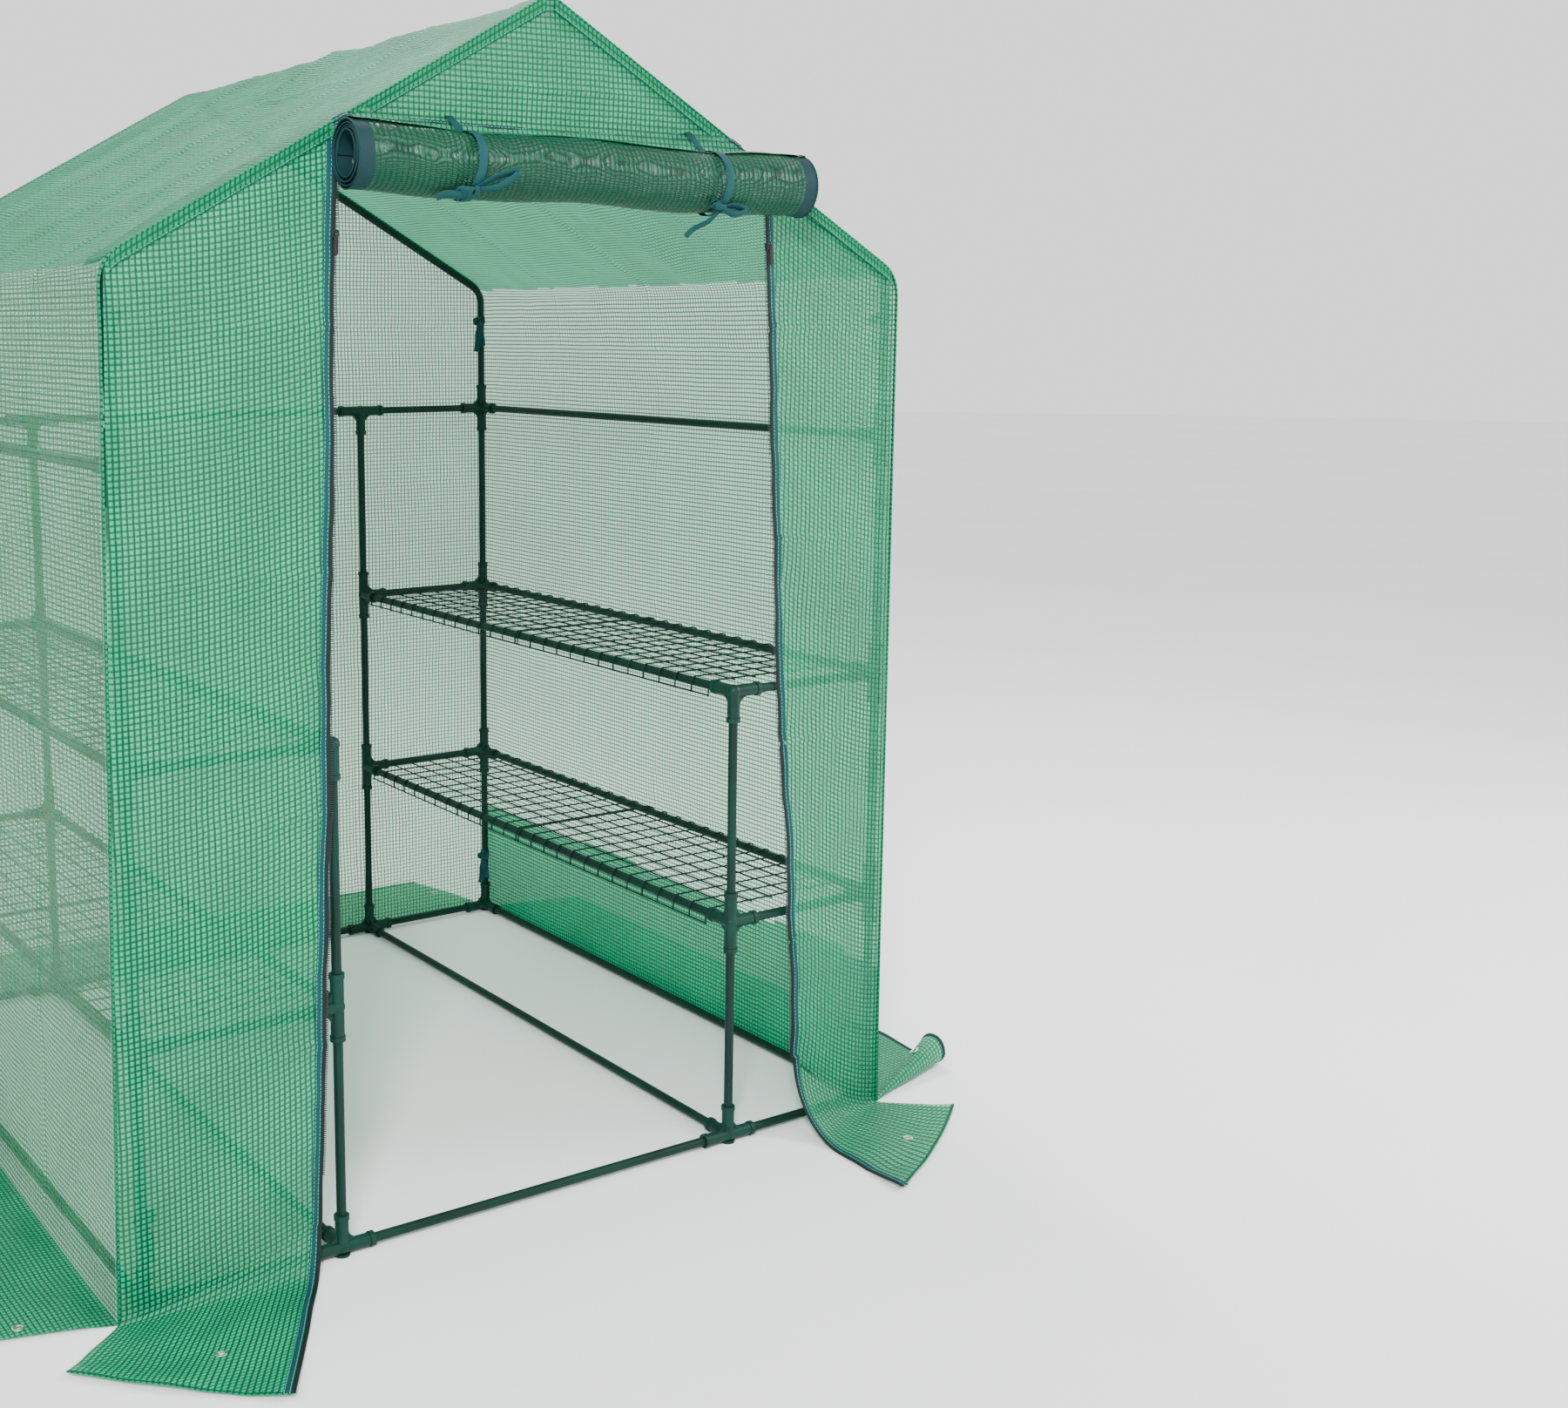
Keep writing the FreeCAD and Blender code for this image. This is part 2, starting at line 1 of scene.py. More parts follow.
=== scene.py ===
# %% [markdown]
# # A walk-in greenhouse, finished in Blender
# The frame, the wire shelves and everything that slides come ready-made from the engineering model.
# Here the soft cover is cut and hung, the small sewn and moulded details are added, and every surface
# gets its finish. Lengths are metres, +Z is up, and the doorway faces -Y.

# %% Load the frame
import json
import math

import bmesh
import bpy
import numpy as np
from mathutils import Matrix, Vector, noise


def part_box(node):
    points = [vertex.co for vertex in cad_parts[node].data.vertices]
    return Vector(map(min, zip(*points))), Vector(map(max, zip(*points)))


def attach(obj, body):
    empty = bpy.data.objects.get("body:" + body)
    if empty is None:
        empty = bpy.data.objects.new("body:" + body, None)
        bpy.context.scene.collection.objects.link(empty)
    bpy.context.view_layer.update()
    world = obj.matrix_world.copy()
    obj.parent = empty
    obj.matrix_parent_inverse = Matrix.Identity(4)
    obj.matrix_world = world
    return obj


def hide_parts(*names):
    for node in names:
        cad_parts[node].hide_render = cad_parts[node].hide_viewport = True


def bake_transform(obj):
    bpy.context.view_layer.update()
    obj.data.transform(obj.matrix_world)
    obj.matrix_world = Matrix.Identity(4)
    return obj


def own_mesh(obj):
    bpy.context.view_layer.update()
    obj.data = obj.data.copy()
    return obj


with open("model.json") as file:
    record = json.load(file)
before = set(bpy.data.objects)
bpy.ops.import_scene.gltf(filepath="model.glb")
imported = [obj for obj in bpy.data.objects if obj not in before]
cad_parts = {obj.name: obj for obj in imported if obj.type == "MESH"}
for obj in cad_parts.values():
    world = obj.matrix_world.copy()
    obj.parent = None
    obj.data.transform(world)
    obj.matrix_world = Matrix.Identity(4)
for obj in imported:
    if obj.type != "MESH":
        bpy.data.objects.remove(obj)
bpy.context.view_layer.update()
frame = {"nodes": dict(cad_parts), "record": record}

# %% [markdown]
# The cover follows the frame, so its sizes are read from the frame's own pieces: where the walls stand,
# how high the eave and the ridge are, and where the doorway's two leaning edges run.

# %% Sizes read from the frame
def low(node):
    return Vector(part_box(node)[0])


def high(node):
    return Vector(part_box(node)[1])


WALL = high("cover_right_wall").x
END = high("cover_back_wall").y
WALL_TOP = high("cover_right_wall").z
FLOOR_GAP = low("cover_right_wall").z
RIDGE = high("cover_back_wall").z
SEAM = low("cover_front_gable").z
TUBE = (high("side_rail_left").z - low("side_rail_left").z) / 2
POST_X = high("side_rail_right").x - TUBE
POST_Y = high("back_rail").y - TUBE
SIDE_RAIL = high("side_rail_left").z - TUBE
ROLL_LOW, ROLL_HIGH = low("door_roll"), high("door_roll")
print("walls at", round(WALL, 4), "ends at", round(END, 4))
print("wall top", round(WALL_TOP, 4), "ridge", round(RIDGE, 4))

# %% [markdown]
# The camera stands outside the front left corner at eye height, turned a third of the way toward the
# right and tipped slightly down. The lens shift only slides the picture, so verticals stay as they are.

# %% Camera
YAW, PITCH = 0.57685, 0.158
camera_data = bpy.data.cameras.new("camera")
camera_data.sensor_width = 36
camera_data.lens = 43.03
camera_data.shift_x = 0.1337
camera_data.shift_y = -0.0497
camera = bpy.data.objects.new("camera", camera_data)
camera.location = (-1.60132, -3.26002, 1.4612)
camera.rotation_euler = (math.pi / 2 - PITCH, 0, -YAW)
bpy.context.scene.collection.objects.link(camera)
bpy.context.scene.camera = camera
print("camera height", round(camera.location.z, 3))

# %% [markdown]
# A plain studio: a wide pale floor, an even white surround, and three large soft lamps. The key lamp
# stands to the front left so that the glossy film of the cover catches small highlights.

# %% Studio
world = bpy.data.worlds.new("studio_air")
bpy.context.scene.world = world
world.use_nodes = True
world.node_tree.nodes["Background"].inputs["Color"].default_value = (1, 1, 1, 1)
world.node_tree.nodes["Background"].inputs["Strength"].default_value = 1.45


def soft_lamp(name, place, toward, size, power):
    data = bpy.data.lights.new(name, "AREA")
    data.shape = "DISK"
    data.size = size
    data.energy = power
    lamp = bpy.data.objects.new(name, data)
    lamp.location = place
    lamp.rotation_euler = (Vector(toward) - Vector(place)).to_track_quat("-Z", "Y").to_euler()
    bpy.context.scene.collection.objects.link(lamp)
    return lamp


soft_lamp("key_lamp", (-2.6, -4.2, 3.6), (0, 0, 0.9), 0.9, 330)
soft_lamp("side_lamp", (4.2, -2.4, 2.8), (0, 0, 0.9), 1.4, 150)
soft_lamp("top_lamp", (0.5, 1.8, 4.5), (0, 0, 1.0), 1.6, 150)

floor_mesh = bpy.data.meshes.new("studio_floor")
disc = bmesh.new()
bmesh.ops.create_circle(disc, cap_ends=True, segments=96, radius=30)
disc.to_mesh(floor_mesh)
disc.free()
studio_floor = bpy.data.objects.new("studio_floor", floor_mesh)
bpy.context.scene.collection.objects.link(studio_floor)
print("studio ready")

# %% [markdown]
# ## Finishes
# Every finish is a small graph of shader nodes. Two helpers keep the graphs short: one adds a node and
# wires its inputs, the other starts a material with one main shader and its fixed values.

# %% Helpers for shader graphs
class Graph:
    """A material's node tree, with a short way to add and wire nodes."""

    def __init__(self, name):
        self.material = bpy.data.materials.new(name)
        self.material.use_nodes = True
        self.tree = self.material.node_tree
        self.tree.nodes.clear()
        self.output = self.tree.nodes.new("ShaderNodeOutputMaterial")

    def add(self, kind, settings=None, **inputs):
        node = self.tree.nodes.new("ShaderNode" + kind)
        for key, value in (settings or {}).items():
            setattr(node, key, value)
        for key, value in inputs.items():
            index = int(key[1:]) if key[1:].isdigit() else key.replace("_", " ")
            self.put(node.inputs[index], value)
        return node

    def put(self, socket, value):
        if isinstance(value, bpy.types.NodeSocket):
            self.tree.links.new(value, socket)
        elif isinstance(value, bpy.types.Node):
            self.tree.links.new(value.outputs[0], socket)
        else:
            socket.default_value = value

    def math(self, operation, *values):
        node = self.add("Math", {"operation": operation})
        for index, value in enumerate(values):
            self.put(node.inputs[index], value)
        return node.outputs[0]

    def ramp(self, value, low, high, to_low=0.0, to_high=1.0, smooth=True):
        node = self.add("MapRange", {"interpolation_type": "SMOOTHSTEP" if smooth else "LINEAR"})
        for index, entry in enumerate((value, low, high, to_low, to_high)):
            self.put(node.inputs[index], entry)
        return node.outputs[0]

    def blend(self, factor, first, second):
        node = self.add("Mix", {"data_type": "RGBA"})
        self.put(node.inputs[0], factor)
        self.put(node.inputs[6], first)
        self.put(node.inputs[7], second)
        return node.outputs[2]

    def noise(self, vector, scale, detail=3.0, roughness=0.55):
        node = self.add("TexNoise", Vector=vector, Scale=scale, Detail=detail, Roughness=roughness)
        return node.outputs[0]

    def principled(self, **inputs):
        return self.add("BsdfPrincipled", **inputs)

    def finish(self, shader):
        self.put(self.output.inputs["Surface"], shader.outputs[0])
        return self.material


def colour(red, green, blue):
    return (red, green, blue, 1.0)


print("shader helpers ready")

# %% [markdown]
# The floor is matt and almost white. A little unevenness in its colour keeps it from looking computed.

# %% Floor finish
graph = Graph("floor_paper")
place = graph.add("TexCoord").outputs["Object"]
cloudy = graph.noise(place, 0.8)
tone = graph.blend(graph.ramp(cloudy, 0.3, 0.7), colour(0.90, 0.90, 0.90), colour(0.93, 0.93, 0.93))
paper = graph.principled(Base_Color=tone, Roughness=0.85)
studio_floor.data.materials.append(graph.finish(paper))
print("floor finish ready")

# %% [markdown]
# The tubes are thin steel with a dark green powder coat. The coat has a fine orange-peel texture, is a
# little uneven in gloss, and is rubbed paler in a few places where tubes were pushed together.

# %% Coated steel
def coated_steel(name, dark, light, grain=220):
    graph = Graph(name)
    place = graph.add("TexCoord").outputs["Object"]
    patches = graph.noise(place, 6, 4)
    rubbed = graph.ramp(graph.noise(place, 38, 5, 0.7), 0.62, 0.78)
    base = graph.blend(graph.ramp(patches, 0.35, 0.7), dark, light)
    worn = graph.blend(graph.math("MULTIPLY", rubbed, 0.25), base, colour(0.02, 0.11, 0.075))
    peel = graph.noise(place, grain, 2)
    bump = graph.add("Bump", Strength=0.12, Distance=0.0006, Height=peel)
    rough = graph.ramp(patches, 0.3, 0.7, 0.42, 0.56)
    shader = graph.principled(
        Base_Color=worn, Roughness=rough, Normal=bump, Metallic=0.0,
        Specular_IOR_Level=0.17, Coat_Weight=0.03,
    )
    return graph.finish(shader)


tube_finish = coated_steel("green_powder_coat", colour(0.001, 0.016, 0.011), colour(0.001, 0.027, 0.018))
wire_finish = coated_steel("green_wire_coat", colour(0.002, 0.012, 0.009), colour(0.003, 0.022, 0.016), 500)
print("coated steel ready")

# %% [markdown]
# The connectors are moulded in dark green plastic: smoother and a touch brighter than the tubes, with
# the faint flow marks that moulding leaves and soft satin highlights along the round arms.

# %% Moulded plastic
graph = Graph("moulded_green_plastic")
place = graph.add("TexCoord").outputs["Object"]
flow = graph.add("TexNoise", Vector=place, Scale=14, Detail=4, Distortion=1.2).outputs[0]
body = graph.blend(graph.ramp(flow, 0.3, 0.7), colour(0.001, 0.022, 0.015), colour(0.001, 0.036, 0.024))
scuffs = graph.ramp(graph.noise(place, 120, 6, 0.75), 0.66, 0.8)
scuffed = graph.blend(graph.math("MULTIPLY", scuffs, 0.35), body, colour(0.03, 0.13, 0.09))
texture = graph.math("ADD", graph.math("MULTIPLY", flow, 0.6), graph.noise(place, 420, 2))
bump = graph.add("Bump", Strength=0.10, Distance=0.0005, Height=texture)
rough = graph.ramp(flow, 0.3, 0.7, 0.42, 0.56)
plastic = graph.principled(
    Base_Color=scuffed, Roughness=rough, Normal=bump, Specular_IOR_Level=0.18, Coat_Weight=0.03,
)
connector_finish = graph.finish(plastic)
print("moulded plastic ready")

# %% Put the hard finishes on the frame's own pieces
slot_of = {entry["node"]: entry["material_slot"] for entry in frame["record"]["subparts"]}
hard_finishes = {"tube": tube_finish, "connector": connector_finish, "wire": wire_finish}
for node, obj in frame["nodes"].items():
    finish = hard_finishes.get(slot_of[node])
    if finish:
        for slot in obj.material_slots:
            slot.material = finish
print("finished", sum(slot_of[node] in hard_finishes for node in frame["nodes"]), "hard pieces")

# %% [markdown]
# The cover is a reinforced film: thin green polyethylene with a square net of thicker yarn inside. The
# film between the yarns is pale, glossy and half see-through, and puckers into a small cushion; the
# yarns are darker and close to solid. The net is drawn from the cloth's own flat coordinates, in metres,
# so it bends and sags with the sheet. Light passes through the film, so a translucent shader is mixed
# with the glossy one, and a share of each cell is left open to what is behind.

# %% Net film
NET_PITCH = 0.0089


def net_film(name, film, yarn, film_cover=0.55, yarn_cover=0.93, through=0.45, gloss=0.24,
             yarn_share=(0.42, 0.80), shine=0.34):
    graph = Graph(name)
    flat = graph.add("UVMap").outputs["UV"]
    wander = graph.add("TexNoise", Vector=flat, Scale=9, Detail=2).outputs["Color"]
    centred = graph.add("VectorMath", {"operation": "SUBTRACT"}, _0=wander, _1=(0.5, 0.5, 0.5))
    shift = graph.add("VectorMath", {"operation": "SCALE"}, _0=centred, Scale=0.0035)
    bent = graph.add("VectorMath", {"operation": "ADD"}, _0=flat, _1=shift)
    parts = graph.add("SeparateXYZ", _0=bent)
    lines = []
    domes = []
    threads = []
    for axis in (0, 1):
        across = graph.math("DIVIDE", parts.outputs[axis], NET_PITCH)
        centre = graph.math("ABSOLUTE", graph.math("SUBTRACT", graph.math("FRACT", across), 0.5))
        nearness = graph.math("MULTIPLY", centre, 2.0)
        lines.append(graph.ramp(nearness, yarn_share[0], yarn_share[1]))
        domes.append(graph.math("SUBTRACT", 1.0, graph.math("POWER", nearness, 2.0)))
        fine = graph.math("FRACT", graph.math("MULTIPLY", across, 8.0))
        threads.append(graph.math("ABSOLUTE", graph.math("SUBTRACT", fine, 0.5)))
    net = graph.math("MAXIMUM", lines[0], graph.math("MULTIPLY", lines[1], 0.85))
    knots = graph.math("MULTIPLY", lines[0], lines[1])
    dome = graph.math("MULTIPLY", domes[0], domes[1])
    weave = graph.math("ADD", threads[0], threads[1])
    cloudy = graph.ramp(graph.noise(flat, 5, 4), 0.3, 0.7, 0.0, 1.0)
    crumple = graph.noise(flat, 60, 4, 0.7)
    film_tone = graph.blend(graph.math("MULTIPLY", cloudy, 0.35), film, yarn)
    knot_tone = tuple(0.55 * c for c in yarn[:3]) + (1.0,)
    yarn_tone = graph.blend(graph.math("MULTIPLY", knots, 0.5), yarn, knot_tone)
    tone = graph.blend(net, film_tone, yarn_tone)
    height = graph.math("ADD", graph.math("MULTIPLY", dome, 1.0), graph.math("MULTIPLY", crumple, 2.4))
    height = graph.math("ADD", height, graph.math("MULTIPLY", weave, 0.08))
    bump = graph.add("Bump", Strength=0.62, Distance=0.0026, Height=height)
    rough = graph.ramp(crumple, 0.3, 0.7, gloss - 0.06, gloss + 0.10)
    skin = graph.principled(Base_Color=tone, Roughness=rough, Normal=bump, Specular_IOR_Level=shine)
    lit_through = graph.add("BsdfTranslucent", Color=tone, Normal=bump)
    body = graph.add("MixShader", _0=through, _1=skin.outputs[0], _2=lit_through.outputs[0])
    clear = graph.add("BsdfTransparent", Color=colour(0.86, 0.98, 0.92))
    solid_share = graph.math("ADD", film_cover, graph.math("MULTIPLY", net, yarn_cover - film_cover))
    whole = graph.add("MixShader", _0=solid_share, _1=clear.outputs[0], _2=body.outputs[0])
    return graph.finish(whole)


print("net film helper ready, pitch", NET_PITCH)

# %% [markdown]
# One grade of film covers the whole tent, and each place is given its own tone of it. The walls are the
# palest, painted light where a single sheet has light behind it; the front panels, the gable, the roof, the
# skirts and the right wall's foot are painted fuller and more solid, as painted shade; the doubled edges are
# the strongest green, and in the rolled door many layers lie on each other, so almost nothing shines through.

# %% The film in each place
# The walls: the palest tone, painted light where a single sheet has light behind it.
wall_film = net_film("net_film_walls", colour(0.26, 0.80, 0.47), colour(0.003, 0.15, 0.062), 0.32, 0.90)
# The roof: a fuller, more solid tone of the same film, painted shade.
roof_film = net_film(
    "net_film_roof", colour(0.010, 0.50, 0.25), colour(0.001, 0.13, 0.056), 0.88, gloss=0.36, shine=0.18,
)
# The front left panel: a deep, nearly solid tone of the same film, painted shade.
left_film = net_film(
    "net_film_front_left", colour(0.006, 0.70, 0.34), colour(0.001, 0.12, 0.054), 0.90, shine=0.26,
)
# The right front panel, the gable and the door strip: fuller than the walls, painted shade.
front_film = net_film("net_film_front", colour(0.060, 0.70, 0.36), colour(0.001, 0.14, 0.062), 0.68)
hem_film = net_film(
    "net_film_doubled", colour(0.002, 0.38, 0.165), colour(0.001, 0.12, 0.052),
    0.98, 1.0, 0.35, 0.46, shine=0.14,
)
# The skirts and the right wall's foot: a full, nearly solid tone, painted shade.
skirt_film = net_film(
    "net_film_skirts", colour(0.014, 0.55, 0.27), colour(0.001, 0.14, 0.060), 0.94, 0.99, 0.30,
)
roll_film = net_film(
    "net_film_roll", colour(0.001, 0.105, 0.048), colour(0.001, 0.034, 0.016),
    0.98, 1.0, 0.10, 0.26, shine=0.22,
)
print("net films ready")

# %% [markdown]
# Tapes and bindings are narrow woven polypropylene in a dark blue-green. Their ribs run across the
# length, so the weave is drawn along the tape's own flat coordinates.

# %% Woven tape
def woven_tape(name, base, bright, rib=0.0011):
    graph = Graph(name)
    flat = graph.add("UVMap").outputs["UV"]
    parts = graph.add("SeparateXYZ", _0=flat)
    along = graph.math("FRACT", graph.math("DIVIDE", parts.outputs[0], rib))
    across = graph.math("FRACT", graph.math("DIVIDE", parts.outputs[1], rib * 1.6))
    ribs = graph.math("ABSOLUTE", graph.math("SUBTRACT", along, 0.5))
    cords = graph.math("ABSOLUTE", graph.math("SUBTRACT", across, 0.5))
    weave = graph.math("ADD", graph.math("MULTIPLY", ribs, 1.3), graph.math("MULTIPLY", cords, 0.7))
    fuzz = graph.noise(flat, 900, 3)
    tone = graph.blend(graph.ramp(weave, 0.2, 0.9), bright, base)
    faded = graph.blend(graph.ramp(graph.noise(flat, 30, 3), 0.45, 0.75, 0.0, 0.3), tone, bright)
    height = graph.math("ADD", weave, graph.math("MULTIPLY", fuzz, 0.4))
    bump = graph.add("Bump", Strength=0.5, Distance=0.0006, Height=height)
    shader = graph.principled(Base_Color=faded, Roughness=0.66, Normal=bump, Specular_IOR_Level=0.22)
    return graph.finish(shader)


tie_tape = woven_tape("tie_tape", colour(0.001, 0.034, 0.038), colour(0.001, 0.062, 0.068))
dark_tape = woven_tape("dark_binding", colour(0.001, 0.016, 0.019), colour(0.002, 0.032, 0.037))
black_tape = woven_tape("black_binding", colour(0.002, 0.005, 0.005), colour(0.005, 0.012, 0.012))
print("tapes ready")

# %% [markdown]
# ## Cloth
# Each sheet is a fine grid of points. A rule turns a pair of flat coordinates into a place in space, and
# the same flat coordinates, in metres, become the UV map that the net is drawn on. That keeps the net
# square on the cut cloth however the sheet bends, which a box projection could not do.

# %% Helpers that build a piece from points and faces
def make_piece(name, points, faces, flats=None, finishes=(), face_finish=None, smooth=True):
    mesh = bpy.data.meshes.new(name)
    mesh.from_pydata([tuple(p) for p in points], [], faces)
    if flats is not None:
        layer = mesh.uv_layers.new(name="flat")
        corner_points = np.zeros(len(mesh.loops), np.int32)
        mesh.loops.foreach_get("vertex_index", corner_points)
        layer.data.foreach_set("uv", np.asarray(flats, np.float32)[corner_points].ravel())
    for finish in finishes:
        mesh.materials.append(finish)
    if face_finish is not None:
        mesh.polygons.foreach_set("material_index", np.asarray(face_finish, np.int32))
    mesh.polygons.foreach_set("use_smooth", [smooth] * len(mesh.polygons))
    mesh.update()
    obj = bpy.data.objects.new(name, mesh)
    bpy.context.scene.collection.objects.link(obj)
    return obj


def grid_faces(columns, rows, flip=False):
    faces = []
    for row in range(rows):
        for column in range(columns):
            a = row * (columns + 1) + column
            quad = (a, a + 1, a + columns + 2, a + columns + 1)
            faces.append(quad[::-1] if flip else quad)
    return faces


print("piece helpers ready")


# %% Cloth: a grid of points that knows its flat size
class Cloth:
    """A grid of points with flat coordinates, which can give its edges to the pieces sewn on it."""

    def __init__(self, columns, rows, rule):
        self.columns, self.rows = columns, rows
        placed = [rule(c / columns, r / rows) for r in range(rows + 1) for c in range(columns + 1)]
        self.points = np.array([tuple(p) for p, _ in placed]).reshape(rows + 1, columns + 1, 3)
        self.flats = np.array([f for _, f in placed]).reshape(rows + 1, columns + 1, 2)
        along_u = np.gradient(self.points, axis=1)
        along_v = np.gradient(self.points, axis=0)
        normals = np.cross(along_u, along_v)
        lengths = np.maximum(np.linalg.norm(normals, axis=2, keepdims=True), 1e-9)
        self.normals = normals / lengths

    def piece(self, name, finish, flip=False):
        faces = grid_faces(self.columns, self.rows, flip)
        return make_piece(name, self.points.reshape(-1, 3), faces, self.flats.reshape(-1, 2), (finish,))

    def area(self):
        across = np.diff(self.points, axis=1)[:-1]
        up = np.diff(self.points, axis=0)[:, :-1]
        return float(np.linalg.norm(np.cross(across, up), axis=2).sum())

    def edge(self, side):
        """Points and normals along one edge, from the start to the end of the other coordinate."""
        pick = {"left": np.s_[:, 0], "right": np.s_[:, -1], "bottom": np.s_[0, :], "top": np.s_[-1, :]}[side]
        return self.points[pick], self.normals[pick]


def dress(obj, body, slot, *nodes):
    """Fasten a finished piece to its body and stand it in for its CAD nodes."""
    if nodes:
        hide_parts(*nodes)
    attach(obj, body)
    return obj


print("cloth helpers ready")

# %% [markdown]
# Thin film never hangs smooth. Four things shape it: shallow pillows between the tubes, soft creases from
# being folded in its bag, long tension folds that run from corner to corner, and small crumples.
# Each is a plain formula or a band of smooth noise, so the same cloth comes out every time.

# %% Creases and slack
def smooth_step(value, start, end):
    share = min(1.0, max(0.0, (value - start) / (end - start)))
    return share * share * (3 - 2 * share)


def hump(share):
    return math.sin(math.pi * min(1.0, max(0.0, share)))


def fold_line(distance, width):
    """A soft ridge where the cloth was folded for packing."""
    return max(0.0, 1.0 - abs(distance) / width) ** 2


CRUMPLE_HEIGHT = 0.0044


def crumple(u, v, seed):
    """Sharp little ridges between flat facets, as crushed film has."""
    total = 0.0
    for octave, share in ((3.5, 1.0), (8.0, 0.5), (19.0, 0.22)):
        value = noise.noise(Vector((u * octave, v * octave, seed + octave)))
        total += share * (abs(value) * 2.2 - 0.45)
    return total * CRUMPLE_HEIGHT


def drifting(u, v, seed, scale_u, scale_v):
    return noise.noise(Vector((u * scale_u, v * scale_v, seed)))


PACK_FOLD, CREASE_WIDTH, CREASE_HEIGHT = 0.365, 0.013, 0.0030


def packed_folds(u, v, seed):
    """The square pattern of creases left by the packing folds."""
    wobble = 0.004 * drifting(u, v, seed, 2.0, 2.0)
    across = abs((u + wobble) / PACK_FOLD - round((u + wobble) / PACK_FOLD)) * PACK_FOLD
    up = abs((v + wobble) / PACK_FOLD - round((v + wobble) / PACK_FOLD)) * PACK_FOLD
    return CREASE_HEIGHT * (fold_line(across, CREASE_WIDTH) + fold_line(up, CREASE_WIDTH))


print("crease rules ready")

# %% [markdown]
# The walls and both roof slopes are one long sheet: up the left wall, over the eave, up to the ridge and
# down the other side. It is a single curve in cross-section, so it is built from that curve's length.
# There is no rail at the eave, so between the front and back rafters the cloth cuts the corner and sags.

# %% Cross-section of the cover
EAVE_BEND = 0.0597
RIDGE_BEND = 0.026
eave_to_ridge = Vector((WALL - EAVE_BEND, RIDGE - WALL_TOP))
ROOF_ANGLE = math.atan2(eave_to_ridge.y, eave_to_ridge.x) - math.asin(EAVE_BEND / eave_to_ridge.length)
print("roof angle", round(math.degrees(ROOF_ANGLE), 2))


def half_outline():
    """Cross-section of the left half from the floor to the ridge, as (length, x, z, normal) samples."""
    turn = math.pi / 2 - ROOF_ANGLE
    centre = Vector((-WALL + EAVE_BEND, WALL_TOP))
    samples = []
    steps = 130
    for index in range(steps):
        samples.append((-WALL, FLOOR_GAP + (WALL_TOP - FLOOR_GAP) * index / steps, -1.0, 0.0))
    for index in range(8):
        angle = turn * index / 8
        normal = (-math.cos(angle), math.sin(angle))
        samples.append((centre.x + EAVE_BEND * normal[0], centre.y + EAVE_BEND * normal[1], *normal))
    normal = (-math.sin(ROOF_ANGLE), math.cos(ROOF_ANGLE))
    start = Vector((centre.x + EAVE_BEND * -math.cos(turn), centre.y + EAVE_BEND * math.sin(turn)))
    length = -start.x / math.cos(ROOF_ANGLE) - RIDGE_BEND * math.tan(ROOF_ANGLE)
    for index in range(75):
        along = length * index / 74
        samples.append((start.x + along * math.cos(ROOF_ANGLE),
                        start.y + along * math.sin(ROOF_ANGLE), *normal))
    last = samples[-1]
    ridge_centre = (last[0] + RIDGE_BEND * math.sin(ROOF_ANGLE), last[1] - RIDGE_BEND * math.cos(ROOF_ANGLE))
    for index in range(1, 5):
        angle = ROOF_ANGLE * (1 - index / 4)
        normal = (-math.sin(angle), math.cos(angle))
        samples.append((ridge_centre[0] * (1 - index / 4) + RIDGE_BEND * normal[0],
                        ridge_centre[1] + RIDGE_BEND * normal[1], *normal))
    return samples


print("half outline", len(half_outline()), "points")

# %% The whole outline, by length
left_half = half_outline()
outline = left_half + [(-x, z, -nx, nz) for x, z, nx, nz in reversed(left_half[:-1])]
outline = np.array(outline)
outline_length = np.concatenate([[0], np.cumsum(np.linalg.norm(np.diff(outline[:, :2], axis=0), axis=1))])
SHEET_LENGTH = float(outline_length[-1])


def outline_at(share):
    length = share * SHEET_LENGTH
    x, z, nx, nz = (float(np.interp(length, outline_length, outline[:, k])) for k in range(4))
    return length, x, z, nx, nz


print("outline", len(outline), "points,", round(SHEET_LENGTH, 3), "m long")

# %% The wall-to-wall sheet
LEFT_FLARE = 0.030
RAIL_LEVELS = (0.0, 0.414, 0.833, SIDE_RAIL)
SHELF_CLEARANCE = 0.0030


def flare(y, z):
    """How far the pegged foot of the left wall stands out from its posts; most at the front corner."""
    forward = 0.35 + 0.65 * (1 - smooth_step(y, -END, END))
    return LEFT_FLARE * max(0.0, 1 - z / 1.45) * forward


def wall_sheet(u, v):
    length, x, z, nx, nz = outline_at(u)
    y = -END + 2 * END * v
    if u < 0.5:
        x -= flare(y, z)
    hold = hump(v) ** 0.5
    on_roof = smooth_step(z, WALL_TOP + 0.02, WALL_TOP + 0.10)
    up_slope = (z - WALL_TOP) / (RIDGE - WALL_TOP)
    push = -0.020 * on_roof * hump(up_slope) * hump(v)
    push -= 0.024 * hold * math.exp(-((z - WALL_TOP - 0.02) / 0.10) ** 2)
    on_wall = 1 - smooth_step(z, WALL_TOP - 0.15, WALL_TOP)
    rail = min(abs(z - level) for level in RAIL_LEVELS)
    push += on_wall * hold * (0.003 * math.exp(-(rail / 0.03) ** 2) - 0.004 * smooth_step(rail, 0.03, 0.16))
    loose = (0.35 + 0.65 * hold) * smooth_step(z, 0.0, 0.08)
    tension = abs(drifting(length + 0.5 * y, y - 0.35 * length, 31.0, 1.3, 5.5)) - 0.16
    push += loose * (crumple(length, y, 5.0) + packed_folds(length, y, 3.0) + 0.010 * tension * on_roof)
    push += loose * 0.004 * tension * on_wall
    if u > 0.5 and z < WALL_TOP - 0.10:
        # The right wall stays clear of the shelves, which lift past it.
        push = max(push, 0.25 * push) + SHELF_CLEARANCE * on_wall
    push = push * min(1.0, 40 * v, 40 * (1 - v))
    return (x + nx * push, y, z + nz * push), (length, y)


